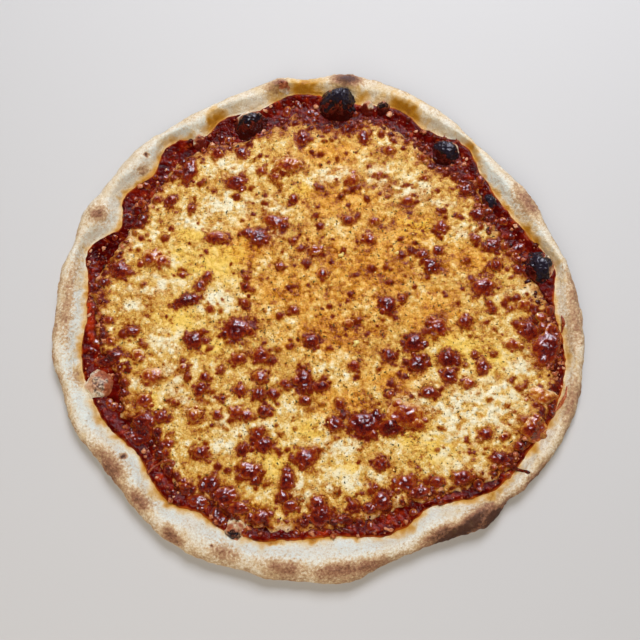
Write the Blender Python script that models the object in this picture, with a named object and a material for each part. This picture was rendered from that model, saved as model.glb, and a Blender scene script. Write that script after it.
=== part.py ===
"""A whole cheese pizza, uncut: dough with a puffed rim, tomato sauce, and browned cheese.

Metres, +Z up.  The origin is at the middle of the flat underside.  Angles are in degrees,
counter-clockwise from +X.  The three layers are closed bodies that keep a small gap.
"""

from collections import namedtuple

import bmesh
import bpy
import numpy as np
from mathutils import Matrix

MM = 0.001
GAP = 0.35 * MM

# Layers, from the underside up.
BASE_THICKNESS = 3.4 * MM
SAUCE_THICKNESS = 1.2 * MM
SAUCE_EDGE_THICKNESS = 0.5 * MM
CHEESE_THICKNESS = 3.2 * MM
CHEESE_EDGE_THICKNESS = 0.9 * MM
CHEESE_EDGE_ROUNDING = 9 * MM

# The rim, in section: it rises from its foot to a crest, then rounds down to a bulge and under.
FOOT_HEIGHT = 6.5 * MM
FOOT_SLOPE_WIDTH = 12 * MM
LEAST_CREST_HEIGHT = 10.5 * MM
CREST_RISE_PER_WIDTH = 0.22
CREST_UNEVENNESS = 1.4 * MM
CREST_LUMP_SIZE = 34 * MM
BULGE_HEIGHT = 6.5 * MM
CREST_STOP = 0.5
RIM_STOPS = (0.1, 0.22, 0.36, 0.5, 0.68, 0.84, 0.95, 1.0)
UNDERCUT = 4.5 * MM
UNDERCUT_ROUNDING = 1.4 * MM
UNDERCUT_ROUNDING_HEIGHT = 2.3 * MM

# Outlines: (angle, radius in millimetres) where each one turns.
CRUST_OUTLINE = (
    (0, 207), (8, 203), (15, 198), (27, 197), (36, 193), (47, 193), (56, 198), (68, 202),
    (82, 206), (92, 201), (98, 204), (104, 201), (125, 200), (138, 204), (150, 204),
    (157, 208), (163, 205), (171, 208), (178, 207), (191, 209), (198, 206), (205, 207),
    (214, 202), (226, 201), (237, 205), (247, 205), (255, 202), (260, 204), (267, 203),
    (277, 205), (285, 199), (295, 197), (302, 202), (310, 208), (314, 205), (319, 208),
    (335, 213), (350, 210),
)
RIM_FOOT_OUTLINE = (
    (0, 187), (9, 192), (19, 180), (32, 174), (41, 178), (46, 185), (53, 181), (59, 178),
    (65, 184), (78, 181), (97, 187), (104, 180), (116, 182), (120, 176), (130, 188),
    (139, 178), (148, 185), (155, 174), (164, 191), (172, 184), (180, 181), (190, 186),
    (208, 183), (219, 174), (234, 182), (241, 177), (250, 180), (262, 176), (274, 172),
    (293, 178), (300, 173), (306, 181), (313, 191), (326, 195), (340, 199), (350, 195),
)
CHEESE_OUTLINE = (
    (0, 178), (10, 169), (20, 160), (30, 161), (36, 167), (50, 160), (62, 166), (73, 169),
    (83, 160), (95, 167), (110, 156), (124, 170), (143, 166), (157, 165), (172, 177),
    (185, 174), (200, 163), (208, 169), (217, 160), (234, 170), (241, 165), (250, 170),
    (270, 168), (290, 165), (305, 171), (320, 188), (338, 192), (350, 186),
)
SAUCE_INSIDE_FOOT = 1.2 * MM
CHEESE_INSIDE_SAUCE = 2.5 * MM
CHEESE_EDGE_RAGGEDNESS = 2.2 * MM
CHEESE_EDGE_LUMP_SIZE = 17 * MM

# Dough bubbles on the rim: place, half its width along and across the rim, height of its top.
Bubble = namedtuple("Bubble", "angle radius along across top")
BUBBLES = (
    Bubble(83.0, 179, 15, 13, 26),
    Bubble(82.0, 195, 10, 7, 19),
    Bubble(97.3, 194, 9, 6, 20),
    Bubble(108.2, 170, 12, 12, 18),
    Bubble(122.9, 175, 6, 6, 13),
    Bubble(75.1, 179, 6, 6, 15),
    Bubble(71.2, 182, 6, 6, 15),
    Bubble(50.1, 171, 10, 10, 17),
    Bubble(31.3, 168, 6, 6, 12),
    Bubble(9.8, 180, 12, 11, 17),
    Bubble(199.4, 178, 11, 10, 14),
    Bubble(251.5, 177, 8, 8, 14),
)
BUBBLE_CLEARANCE = 2.5 * MM
BUBBLE_NOTCH_SPREAD = 1.5
BUBBLE_ROOT = 3.5 * MM              # how far a bubble's body reaches below the rim's foot
FINELY_FACETED_FROM = 12            # half the width of a bubble, in millimetres

# Browned shreds of cheese baked onto the rim: place of the middle, length, direction.
Shred = namedtuple("Shred", "x y length direction")
SHREDS = (
    Shred(157, -121, 16, -15),
    Shred(192, -14, 11, 75),
    Shred(190, -72, 20, 62),
)
SHRED_HALF_WIDTH = 1.6 * MM
SHRED_RISE = 2.2 * MM
SHRED_ROOT = 1.5 * MM

# The largest browned blisters in the cheese: place, half its length and width, direction.
Blister = namedtuple("Blister", "x y long wide direction")
BLISTERS = (
    Blister(40, -88, 12, 8, 10),
    Blister(61, -93, 9, 5, 10),
    Blister(70, -81, 12, 8, 20),
    Blister(-62, -16, 9, 7, 0),
    Blister(-93, -23, 7, 6, 0),
    Blister(-103, 8, 11, 6, 0),
    Blister(-41, 63, 6, 10, 20),
    Blister(-56, 66, 7, 5, 0),
    Blister(-75, 61, 10, 4, 0),
    Blister(-27, 75, 9, 6, -10),
    Blister(-60, 108, 10, 6, 20),
    Blister(-17, 118, 11, 9, 0),
    Blister(-38, 116, 8, 6, 0),
    Blister(-103, 117, 6, 12, 0),
    Blister(-60, 137, 5, 5, 0),
    Blister(-6, 146, 5, 6, 0),
    Blister(34, 105, 6, 7, 0),
    Blister(43, 136, 4, 9, 10),
    Blister(94, 37, 6, 7, 0),
    Blister(-128, 38, 10, 7, -60),
    Blister(-142, 6, 7, 4, 0),
    Blister(58, 2, 6, 6, 0),
    Blister(133, 18, 8, 5, 0),
    Blister(98, -13, 7, 6, 0),
    Blister(166, -17, 7, 6, 0),
    Blister(176, -32, 8, 10, 0),
    Blister(83, -27, 6, 6, 0),
    Blister(82, -41, 7, 6, 0),
    Blister(105, -47, 7, 8, 0),
    Blister(-8, -50, 5, 8, 0),
    Blister(9, -58, 7, 4, 0),
    Blister(-36, -65, 8, 5, 0),
    Blister(-38, -101, 7, 8, 0),
    Blister(-132, -88, 10, 9, -40),
    Blister(-104, -124, 7, 8, 0),
    Blister(-66, -138, 9, 7, 0),
    Blister(-48, -124, 8, 7, 0),
    Blister(-25, -127, 6, 8, 0),
    Blister(-6, -113, 7, 6, 0),
    Blister(8, -150, 8, 8, 0),
    Blister(50, -147, 6, 7, 0),
    Blister(70, -130, 9, 8, 0),
    Blister(112, -131, 8, 5, 20),
)
BLISTER_RISE = 2.6 * MM
BLISTER_ROOT = 2.0 * MM
CHEESE_UNEVENNESS = 0.8 * MM
CHEESE_LUMP_SIZE = 24 * MM

# Broad swellings under the cheese's surface: place, reach, height.
Swelling = namedtuple("Swelling", "x y reach rise")
SWELLINGS = (
    Swelling(66, -80, 17, 2.6),
    Swelling(-17, 120, 13, 1.8),
    Swelling(34, 108, 10, 1.4),
    Swelling(-100, 12, 14, 1.2),
    Swelling(164, -88, 12, 4.5),
)

# Unevenness: random values on a lattice, with one seed for each thing that is uneven.
LATTICE = 64
CREST_SEED = 3
CHEESE_EDGE_SEED = 5
CHEESE_SEED = 11

# Facets: points round each outline, and rings in the cheese, each with six points more.
RINGS_IN_CHEESE = 18
STEPS = 6 * RINGS_IN_CHEESE
ANGLES = np.arange(STEPS) * 360.0 / STEPS
COSINES = np.cos(np.radians(ANGLES))
SINES = np.sin(np.radians(ANGLES))


def clear_scene():
    for thing in list(bpy.data.objects):
        bpy.data.objects.remove(thing)


def plain_material(name, colour, roughness):
    material = bpy.data.materials.new(name)
    material.use_nodes = True
    shader = material.node_tree.nodes["Principled BSDF"]
    shader.inputs["Base Color"].default_value = (*colour, 1.0)
    shader.inputs["Roughness"].default_value = roughness
    shader.inputs["Metallic"].default_value = 0.0
    return material


def around(outline, angles):
    """Radius at each angle, on a smooth closed curve through the outline's points.

    Between two points the curve is a cubic with the slopes of its neighbours' chords.
    """
    at = np.array([angle for angle, _ in outline], float)
    radius = np.array([value for _, value in outline], float) * MM
    at = np.concatenate((at[-2:] - 360.0, at, at[:2] + 360.0))
    radius = np.concatenate((radius[-2:], radius, radius[:2]))
    slope = np.gradient(radius, at)
    angles = np.mod(angles, 360.0)
    left = np.searchsorted(at, angles, side="right") - 1
    span = at[left + 1] - at[left]
    t = (angles - at[left]) / span
    rise = radius[left + 1] - radius[left]
    first = slope[left] * span
    last = slope[left + 1] * span
    return radius[left] + t * (first + t * (3 * rise - 2 * first - last + t * (first + last - 2 * rise)))


def lumps(x, y, size, seed):
    """Smooth uneven heights from -1 to 1: random values on a square lattice, eased between."""
    values = np.random.default_rng(seed).uniform(-1.0, 1.0, (LATTICE, LATTICE))
    across = x / size + 0.5 * LATTICE
    along = y / size + 0.5 * LATTICE
    i = np.floor(across).astype(int)
    j = np.floor(along).astype(int)
    u = across - i
    v = along - j
    u = u * u * (3.0 - 2.0 * u)
    v = v * v * (3.0 - 2.0 * v)
    near = values[i, j] * (1.0 - u) + values[i + 1, j] * u
    far = values[i, j + 1] * (1.0 - u) + values[i + 1, j + 1] * u
    return near * (1.0 - v) + far * v


def rim_foot(angles):
    """Where the bare rim starts to rise."""
    return around(RIM_FOOT_OUTLINE, angles)


def sauce_edge(angles):
    """The sauce's outline: just inside the rim's foot, and a parabola round each bubble."""
    radius = rim_foot(angles) - SAUCE_INSIDE_FOOT
    for bubble in BUBBLES:
        reach = max(bubble.along, bubble.across) * MM + BUBBLE_CLEARANCE
        turn = np.radians(angles - bubble.angle)
        offset = bubble.radius * MM * np.sin(turn)
        foot = bubble.radius * MM - reach + offset ** 2 / (BUBBLE_NOTCH_SPREAD * reach)
        radius = np.where(np.cos(turn) > 0.0, np.minimum(radius, foot), radius)
    return radius


def cheese_edge(angles):
    """The cheese's outline, ragged, and always inside the sauce's."""
    radius = around(CHEESE_OUTLINE, angles)
    x = radius * np.cos(np.radians(angles))
    y = radius * np.sin(np.radians(angles))
    ragged = radius + CHEESE_EDGE_RAGGEDNESS * lumps(x, y, CHEESE_EDGE_LUMP_SIZE, CHEESE_EDGE_SEED)
    return np.minimum(ragged, sauce_edge(angles) - CHEESE_INSIDE_SAUCE)


def floor_height(radius, angles):
    """Top of the dough under the sauce: flat, then easing up to the rim's foot."""
    t = 1.0 - np.clip((rim_foot(angles) - radius) / FOOT_SLOPE_WIDTH, 0.0, 1.0)
    return BASE_THICKNESS + (FOOT_HEIGHT - BASE_THICKNESS) * t * t * (3.0 - 2.0 * t)


def sauce_height(radius, angles):
    """Top of the sauce, which thins from the cheese's edge to its own."""
    inner = cheese_edge(angles)
    t = np.clip((radius - inner) / (sauce_edge(angles) - inner), 0.0, 1.0)
    thickness = SAUCE_THICKNESS + (SAUCE_EDGE_THICKNESS - SAUCE_THICKNESS) * t * t
    return floor_height(radius, angles) + GAP + thickness


def cheese_height(radius, angles):
    """Top of the cheese: thin and rounded at its edge, lumpy and swollen within."""
    x = radius * np.cos(np.radians(angles))
    y = radius * np.sin(np.radians(angles))
    inside = np.clip((cheese_edge(angles) - radius) / CHEESE_EDGE_ROUNDING, 0.0, 1.0)
    rounding = np.sqrt(1.0 - (1.0 - inside) ** 2)
    rise = CHEESE_THICKNESS - CHEESE_EDGE_THICKNESS
    rise = rise + CHEESE_UNEVENNESS * lumps(x, y, CHEESE_LUMP_SIZE, CHEESE_SEED)
    for swelling in SWELLINGS:
        distance = np.hypot(x - swelling.x * MM, y - swelling.y * MM) / (swelling.reach * MM)
        rise = rise + swelling.rise * MM * np.exp(-distance ** 2)
    return sauce_height(radius, angles) + GAP + CHEESE_EDGE_THICKNESS + rise * rounding


def crest_height(angles):
    """Height of the rim's crest, which is higher where the rim is wider."""
    outer = around(CRUST_OUTLINE, angles)
    width = outer - rim_foot(angles)
    x = outer * np.cos(np.radians(angles))
    y = outer * np.sin(np.radians(angles))
    uneven = CREST_UNEVENNESS * lumps(x, y, CREST_LUMP_SIZE, CREST_SEED)
    return LEAST_CREST_HEIGHT + CREST_RISE_PER_WIDTH * width + uneven


def rim_height(stop, crest):
    """Height of the rim at a stop from 0, its foot, to 1, its bulge.

    A sine squared eases up to the crest, and a quarter ellipse falls from it.
    """
    rise = np.sin(0.5 * np.pi * np.minimum(stop / CREST_STOP, 1.0)) ** 2
    fall = np.sqrt(1.0 - (np.maximum(stop - CREST_STOP, 0.0) / (1.0 - CREST_STOP)) ** 2)
    inner = FOOT_HEIGHT + (crest - FOOT_HEIGHT) * rise
    outer = BULGE_HEIGHT + (crest - BULGE_HEIGHT) * fall
    return np.where(stop < CREST_STOP, inner, outer)


def add_ring(mesh, radius, height):
    heights = np.broadcast_to(height, radius.shape)
    places = zip(radius * COSINES, radius * SINES, heights)
    return [mesh.verts.new(place) for place in places]


def add_face(mesh, corners, faces_up):
    mesh.faces.new(corners if faces_up else corners[::-1])


def add_fan(mesh, height, ring, faces_up):
    """Triangles from a point on the middle line to the innermost ring."""
    middle = mesh.verts.new((0.0, 0.0, height))
    for i in range(len(ring)):
        add_face(mesh, (middle, ring[i], ring[(i + 1) % len(ring)]), faces_up)


def add_band(mesh, inner, outer, faces_up):
    """Triangles between two rings, always split the same way, so that layers stay parallel."""
    for i in range(STEPS):
        j = (i + 1) % STEPS
        add_face(mesh, (inner[i], outer[i], outer[j]), faces_up)
        add_face(mesh, (inner[i], outer[j], inner[j]), faces_up)


def add_sheet(mesh, rings, faces_up):
    """A surface through (radius, height) rings from the middle out; returns its edge."""
    points = [add_ring(mesh, radius, height) for radius, height in rings]
    add_fan(mesh, float(np.mean(rings[0][1])), points[0], faces_up)
    for inner, outer in zip(points, points[1:]):
        add_band(mesh, inner, outer, faces_up)
    return points[-1]


def add_even_sheet(mesh, edge_radius, height_at):
    """A surface of even facets: ring k has 6k points; returns its edge."""
    inner = None
    for k in range(1, RINGS_IN_CHEESE + 1):
        angles = np.arange(6 * k) * 60.0 / k
        radius = edge_radius(angles) * k / RINGS_IN_CHEESE
        height = height_at(radius, angles)
        turn = np.radians(angles)
        places = zip(radius * np.cos(turn), radius * np.sin(turn), height)
        outer = [mesh.verts.new(place) for place in places]
        if inner is None:
            add_fan(mesh, float(np.mean(height)), outer, True)
        else:
            join_even_rings(mesh, inner, outer, k)
        inner = outer
    return inner


def join_even_rings(mesh, inner, outer, k):
    """In each sixth, k triangles stand on the outer ring and k - 1 hang from the inner one."""
    for sixth in range(6):
        for i in range(k):
            a = inner[(sixth * (k - 1) + i) % len(inner)]
            b = outer[sixth * k + i]
            c = outer[(sixth * k + i + 1) % len(outer)]
            mesh.faces.new((a, b, c))
            if i < k - 1:
                d = inner[(sixth * (k - 1) + i + 1) % len(inner)]
                mesh.faces.new((a, c, d))


def finish(mesh, name, material):
    data = bpy.data.meshes.new(name)
    mesh.to_mesh(data)
    mesh.free()
    data.materials.append(material)
    thing = bpy.data.objects.new(name, data)
    bpy.context.scene.collection.objects.link(thing)
    return thing


def dome(name, place, half_sizes, root, direction, detail, material):
    """A faceted half ellipsoid that stands at a place, with a shallower root below it."""
    mesh = bmesh.new()
    bmesh.ops.create_icosphere(mesh, subdivisions=detail, radius=1.0)
    long, wide, rise = half_sizes
    for point in mesh.verts:
        point.co.z *= rise if point.co.z > 0.0 else root
    turn = Matrix.Rotation(np.radians(direction), 4, "Z")
    size = Matrix.Diagonal((long, wide, 1.0, 1.0))
    bmesh.ops.transform(mesh, matrix=Matrix.Translation(place) @ turn @ size, verts=mesh.verts)
    return finish(mesh, name, material)


def fuse(body, bits):
    """Join the bits to the body by one Boolean union, and remove them."""
    group = bpy.data.collections.new(body.name + "_bits")
    for bit in bits:
        group.objects.link(bit)
        bpy.context.scene.collection.objects.unlink(bit)
    union = body.modifiers.new("fuse", "BOOLEAN")
    union.operation = "UNION"
    union.operand_type = "COLLECTION"
    union.collection = group
    union.solver = "EXACT"
    graph = bpy.context.evaluated_depsgraph_get()
    joined = bpy.data.meshes.new_from_object(body.evaluated_get(graph))
    body.modifiers.clear()
    body.data = joined
    for bit in bits:
        bpy.data.objects.remove(bit)
    bpy.data.collections.remove(group)
    body.data.name = body.name


def polar(radius, angle):
    turn = np.radians(angle)
    return radius * np.cos(turn), radius * np.sin(turn)


def interface_radii():
    """Rings that the layers share: within the cheese, at its edge, and out to the sauce's."""
    inner = cheese_edge(ANGLES)
    outer = sauce_edge(ANGLES)
    return [
        inner - FOOT_SLOPE_WIDTH,
        inner,
        0.5 * (inner + outer),
        outer,
    ]


def make_crust():
    dough = plain_material("baked_dough", (0.71, 0.56, 0.38), 0.75)
    mesh = bmesh.new()
    foot = rim_foot(ANGLES)
    outer = around(CRUST_OUTLINE, ANGLES)
    crest = crest_height(ANGLES)
    rings = [(radius, floor_height(radius, ANGLES)) for radius in interface_radii() + [foot]]
    for stop in RIM_STOPS:
        rings.append((foot + (outer - foot) * stop, rim_height(stop, crest)))
    bulge = add_sheet(mesh, rings, True)
    lower = [(outer - UNDERCUT, 0.0), (outer - UNDERCUT_ROUNDING, UNDERCUT_ROUNDING_HEIGHT)]
    underside = add_sheet(mesh, lower, False)
    add_band(mesh, underside, bulge, False)
    crust = finish(mesh, "crust", dough)
    bits = []
    for number, bubble in enumerate(BUBBLES):
        place = (*polar(bubble.radius * MM, bubble.angle), FOOT_HEIGHT)
        half_sizes = (bubble.across * MM, bubble.along * MM, bubble.top * MM - FOOT_HEIGHT)
        detail = 3 if bubble.along >= FINELY_FACETED_FROM else 2
        name = "bubble_%d" % number
        bits.append(dome(name, place, half_sizes, BUBBLE_ROOT, bubble.angle, detail, dough))
    for number, shred in enumerate(SHREDS):
        x = shred.x * MM
        y = shred.y * MM
        angle = np.degrees(np.arctan2(y, x))
        place = (x, y, crust_surface(np.hypot(x, y), angle))
        half_sizes = (0.5 * shred.length * MM, SHRED_HALF_WIDTH, SHRED_RISE)
        name = "shred_%d" % number
        bits.append(dome(name, place, half_sizes, SHRED_ROOT, shred.direction, 2, dough))
    fuse(crust, bits)
    return crust


def crust_surface(radius, angle):
    """Top of the bare rim at one place."""
    foot = rim_foot(angle)
    stop = (radius - foot) / (around(CRUST_OUTLINE, angle) - foot)
    return float(rim_height(np.clip(stop, 0.0, 1.0), crest_height(angle)))


def make_sauce():
    tomato = plain_material("tomato_sauce", (0.36, 0.05, 0.02), 0.35)
    mesh = bmesh.new()
    radii = interface_radii()
    top = add_sheet(mesh, [(radius, sauce_height(radius, ANGLES)) for radius in radii], True)
    under = [(radius, floor_height(radius, ANGLES) + GAP) for radius in radii]
    bottom = add_sheet(mesh, under, False)
    add_band(mesh, bottom, top, False)
    return finish(mesh, "sauce", tomato)


def make_cheese():
    cheese = plain_material("browned_cheese", (0.67, 0.37, 0.10), 0.4)
    mesh = bmesh.new()
    top = add_even_sheet(mesh, cheese_edge, cheese_height)
    radii = interface_radii()[:2]
    under = [(radius, sauce_height(radius, ANGLES) + GAP) for radius in radii]
    bottom = add_sheet(mesh, under, False)
    add_band(mesh, bottom, top, False)
    body = finish(mesh, "cheese", cheese)
    bits = []
    for number, blister in enumerate(BLISTERS):
        x = blister.x * MM
        y = blister.y * MM
        angles = np.array([np.degrees(np.arctan2(y, x))])
        place = (x, y, cheese_height(np.hypot(x, y), angles)[0])
        half_sizes = (blister.long * MM, blister.wide * MM, BLISTER_RISE)
        name = "blister_%d" % number
        bits.append(dome(name, place, half_sizes, BLISTER_ROOT, blister.direction, 2, cheese))
    fuse(body, bits)
    return body


clear_scene()
for layer in (make_crust(), make_sauce(), make_cheese()):
    layer.data.shade_smooth()
    layer.data.set_sharp_from_angle(angle=np.radians(60))
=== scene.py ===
from collections import namedtuple

import bpy
import numpy as np
from mathutils import Matrix, Vector


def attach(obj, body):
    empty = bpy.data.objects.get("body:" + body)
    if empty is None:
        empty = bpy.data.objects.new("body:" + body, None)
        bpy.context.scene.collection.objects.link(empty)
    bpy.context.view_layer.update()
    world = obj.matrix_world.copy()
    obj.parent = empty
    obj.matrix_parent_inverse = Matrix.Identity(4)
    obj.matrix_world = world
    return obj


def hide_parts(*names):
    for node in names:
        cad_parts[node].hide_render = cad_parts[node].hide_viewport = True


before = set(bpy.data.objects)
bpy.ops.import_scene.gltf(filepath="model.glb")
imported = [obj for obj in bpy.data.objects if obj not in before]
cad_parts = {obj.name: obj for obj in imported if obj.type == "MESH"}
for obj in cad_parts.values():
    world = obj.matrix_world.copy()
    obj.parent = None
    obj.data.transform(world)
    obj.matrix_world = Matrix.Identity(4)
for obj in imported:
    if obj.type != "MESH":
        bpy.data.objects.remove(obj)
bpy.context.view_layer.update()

# Shapes are worked out in millimetres, in the frame of the solids, and become metres in the
# meshes.  Angles are in degrees, counter-clockwise from +X, as seen from above.
MM = 0.001


# ==== Viewpoint ====================================================================
# Whoever looks at the pizza stands over it and a little in front, and looks almost straight
# down.  Places on the food that are given as picture points are brought down to it from here.

PICTURE_SIZE = 640
LENS = 38.0
SENSOR = 36.0
EYE = np.array((36.0, -125.9, 521.5))
AIM = np.array((5.8, -7.5, 0.0))

look = (AIM - EYE) / np.linalg.norm(AIM - EYE)
rightward = np.cross(look, (0.0, 1.0, 0.0))
rightward = rightward / np.linalg.norm(rightward)
upward = np.cross(rightward, look)

camera_data = bpy.data.cameras.new("viewpoint")
camera_data.lens = LENS
camera_data.sensor_width = SENSOR
camera = bpy.data.objects.new("viewpoint", camera_data)
turned = Matrix((rightward, upward, -look)).transposed().to_4x4()
camera.matrix_world = Matrix.Translation(EYE * MM) @ turned
bpy.context.scene.collection.objects.link(camera)
bpy.context.scene.camera = camera


def from_photo(x, y, height):
    """Where the line of sight through a picture point meets the level plane at a height."""
    pixel = SENSOR / LENS / PICTURE_SIZE
    across = (np.asarray(x, float) - 0.5 * PICTURE_SIZE) * pixel
    above = (0.5 * PICTURE_SIZE - np.asarray(y, float)) * pixel
    ray = look + across[..., None] * rightward + above[..., None] * upward
    place = EYE + ray * ((height - EYE[2]) / ray[..., 2])[..., None]
    return place[..., 0], place[..., 1]


# ==== Dough ========================================================================
# A flat round of wheat dough, stretched by hand and baked on a hot floor.  Its bare rim puffs
# into an uneven roll that stays pale on its inner slope, where it is also painted blue-white as
# light, and toasts in patches on its shoulder.
# The oil that runs off the cheese soaks its inner edge orange.

BASE_THICKNESS = 3.4
FOOT_HEIGHT = 6.5
FOOT_SLOPE_WIDTH = 12.0
LEAST_CREST_HEIGHT = 10.5
CREST_RISE_PER_WIDTH = 0.22
CREST_UNEVENNESS = 1.4
CREST_LUMP_SIZE = 34.0
BULGE_HEIGHT = 6.5
CREST_STOP = 0.5
UNDERCUT = 4.5
SKIN_ROOM = 0.9                     # the rim's relief keeps this far inside the solid's outline

# (angle, radius) where each outline turns.
CRUST_OUTLINE = (
    (0, 207), (8, 203), (15, 198), (27, 197), (36, 193), (47, 193), (56, 198), (68, 202),
    (82, 206), (92, 201), (98, 204), (104, 201), (125, 200), (138, 204), (150, 204),
    (157, 208), (163, 205), (171, 208), (178, 207), (191, 209), (198, 206), (205, 207),
    (214, 202), (226, 201), (237, 205), (247, 205), (255, 202), (260, 204), (267, 203),
    (277, 205), (285, 199), (295, 197), (302, 202), (310, 208), (314, 205), (319, 208),
    (335, 213), (350, 210),
)
RIM_FOOT_OUTLINE = (
    (0, 187), (9, 192), (19, 180), (32, 174), (41, 178), (46, 185), (53, 181), (59, 178),
    (65, 184), (78, 181), (97, 187), (104, 180), (116, 182), (120, 176), (130, 188),
    (139, 178), (148, 185), (155, 174), (164, 191), (172, 184), (180, 181), (190, 186),
    (208, 183), (219, 174), (234, 182), (241, 177), (250, 180), (262, 176), (274, 172),
    (293, 178), (300, 173), (306, 181), (313, 191), (326, 195), (340, 199), (350, 195),
)
LATTICE = 64
SPACE_LATTICE = 32
CREST_SEED = 3


def around(outline, angles):
    """Radius at each angle on a smooth closed curve through the outline's points.

    Between two points the curve is a cubic with the slopes of its neighbours' chords.
    """
    at = np.array([angle for angle, _ in outline], float)
    radius = np.array([value for _, value in outline], float)
    at = np.concatenate((at[-2:] - 360.0, at, at[:2] + 360.0))
    radius = np.concatenate((radius[-2:], radius, radius[:2]))
    slope = np.gradient(radius, at)
    angles = np.mod(angles, 360.0)
    left = np.searchsorted(at, angles, side="right") - 1
    span = at[left + 1] - at[left]
    t = (angles - at[left]) / span
    rise = radius[left + 1] - radius[left]
    first = slope[left] * span
    last = slope[left + 1] * span
    return radius[left] + t * (first + t * (3 * rise - 2 * first - last + t * (first + last - 2 * rise)))


def lumps(x, y, size, seed):
    """Smooth uneven values from -1 to 1: random values on a square lattice, eased between."""
    values = np.random.default_rng(seed).uniform(-1.0, 1.0, (LATTICE, LATTICE))
    across = x / size + 0.5 * LATTICE
    along = y / size + 0.5 * LATTICE
    i = np.floor(across).astype(int)
    j = np.floor(along).astype(int)
    u = across - i
    v = along - j
    u = u * u * (3.0 - 2.0 * u)
    v = v * v * (3.0 - 2.0 * v)
    i0, i1, j0, j1 = i % LATTICE, (i + 1) % LATTICE, j % LATTICE, (j + 1) % LATTICE
    near = values[i0, j0] * (1.0 - u) + values[i1, j0] * u
    far = values[i0, j1] * (1.0 - u) + values[i1, j1] * u
    return near * (1.0 - v) + far * v


def layered(layers, *place, kind=lumps):
    """Unevenness of several sizes, added up: each layer is its height, its size and its seed."""
    return sum(height * kind(*place, size, seed) for height, size, seed in layers)


def grain(points, size, seed):
    """Smooth uneven values from -1 to 1 in space, from a cubic lattice of random values."""
    values = np.random.default_rng(seed).uniform(-1.0, 1.0, (SPACE_LATTICE,) * 3)
    cell = points / size
    corner = np.floor(cell).astype(int)
    t = cell - corner
    t = t * t * (3.0 - 2.0 * t)
    total = np.zeros(points.shape[:-1])
    for corners in np.ndindex(2, 2, 2):
        weight = np.prod(np.where(corners, t, 1.0 - t), axis=-1)
        i, j, k = np.moveaxis((corner + corners) % SPACE_LATTICE, -1, 0)
        total = total + weight * values[i, j, k]
    return total


def eased(value, low, high):
    """0 up to low, 1 from high, and a smooth S between."""
    t = np.clip((value - low) / (high - low), 0.0, 1.0)
    return t * t * (3.0 - 2.0 * t)


def place_at(radius, angles):
    """The place at a radius and an angle: x goes with the cosine and y with the sine."""
    return radius * np.cos(np.radians(angles)), radius * np.sin(np.radians(angles))


def polar(x, y):
    """The radius and the angle of a place."""
    return np.hypot(x, y), np.degrees(np.arctan2(y, x))


def rim_foot(angles):
    """Radius of the line where the bare rim rises from the sauced floor."""
    return around(RIM_FOOT_OUTLINE, angles)


def floor_height(radius, angles):
    """Top of the dough under the sauce: flat, then easing up to the rim's foot."""
    t = eased(rim_foot(angles) - radius, FOOT_SLOPE_WIDTH, 0.0)
    return BASE_THICKNESS + (FOOT_HEIGHT - BASE_THICKNESS) * t


def crest_height(angles):
    """Height of the rim's crest, which is higher where the rim is wider."""
    outer = around(CRUST_OUTLINE, angles)
    uneven = CREST_UNEVENNESS * lumps(*place_at(outer, angles), CREST_LUMP_SIZE, CREST_SEED)
    return LEAST_CREST_HEIGHT + CREST_RISE_PER_WIDTH * (outer - rim_foot(angles)) + uneven


def rim_height(stop, crest):
    """Height of the rim at a stop from 0, its foot, to 1, its bulge.

    A sine squared eases up to the crest, and a quarter ellipse falls from it.
    """
    rise = np.sin(0.5 * np.pi * np.clip(stop / CREST_STOP, 0.0, 1.0)) ** 2
    fall = np.sqrt(1.0 - np.clip((stop - CREST_STOP) / (1.0 - CREST_STOP), 0.0, 1.0) ** 2)
    inner = FOOT_HEIGHT + (crest - FOOT_HEIGHT) * rise
    outer = BULGE_HEIGHT + (crest - BULGE_HEIGHT) * fall
    return np.where(stop < CREST_STOP, inner, outer)


def dough_top(radius, angles):
    """Top of the dough at any place: the floor under the toppings, then the bare rim."""
    foot = rim_foot(angles)
    outer = around(CRUST_OUTLINE, angles) - SKIN_ROOM
    stop = np.clip((radius - foot) / (outer - foot), 0.0, 1.0)
    return np.where(radius < foot, floor_height(radius, angles), rim_height(stop, crest_height(angles)))


def put_mesh(name, points, faces, marks=()):
    """Makes a smooth piece of triangles and quads, with one float attribute for each mark."""
    data = bpy.data.meshes.new(name)
    data.from_pydata((points * MM).tolist(), [], faces)
    data.update()
    data.shade_smooth()
    for mark, values in dict(marks).items():
        field = data.attributes.new(mark, "FLOAT", "POINT")
        field.data.foreach_set("value", np.asarray(values, np.float32).ravel())
    piece = bpy.data.objects.new(name, data)
    bpy.context.scene.collection.objects.link(piece)
    return piece


def turned_faces(rows, columns, first):
    """Triangles of a closed turned grid, whose rows run from the top's middle outwards."""
    row, column = np.meshgrid(np.arange(rows - 1), np.arange(columns), indexing="ij")
    here = first + row * columns + column
    beside = first + row * columns + (column + 1) % columns
    quads = np.stack((here, here + columns, beside + columns, beside), axis=-1).reshape(-1, 4)
    return np.concatenate((quads[:, [0, 1, 2]], quads[:, [0, 2, 3]]))


def closed_grid(grid, top, bottom):
    """Points and triangles of a grid of rings, closed by a point at each end."""
    rows, columns, _ = grid.shape
    points = np.concatenate((grid.reshape(-1, 3), [top], [bottom]))
    around_ring = np.arange(columns)
    following = (around_ring + 1) % columns
    last = (rows - 1) * columns
    apex = np.full(columns, rows * columns)
    cap = np.stack((apex, around_ring, following), axis=-1)
    base = np.stack((apex + 1, last + following, last + around_ring), axis=-1)
    faces = np.concatenate((turned_faces(rows, columns, 0), cap, base))
    return points, faces


def outward(grid):
    """Unit normals of a turned grid, from its neighbours along and around."""
    down = np.gradient(grid, axis=0)
    beside = np.roll(grid, -1, axis=1) - np.roll(grid, 1, axis=1)
    normal = np.cross(down, beside)
    return normal / np.maximum(np.linalg.norm(normal, axis=-1, keepdims=True), 1e-9)
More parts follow.
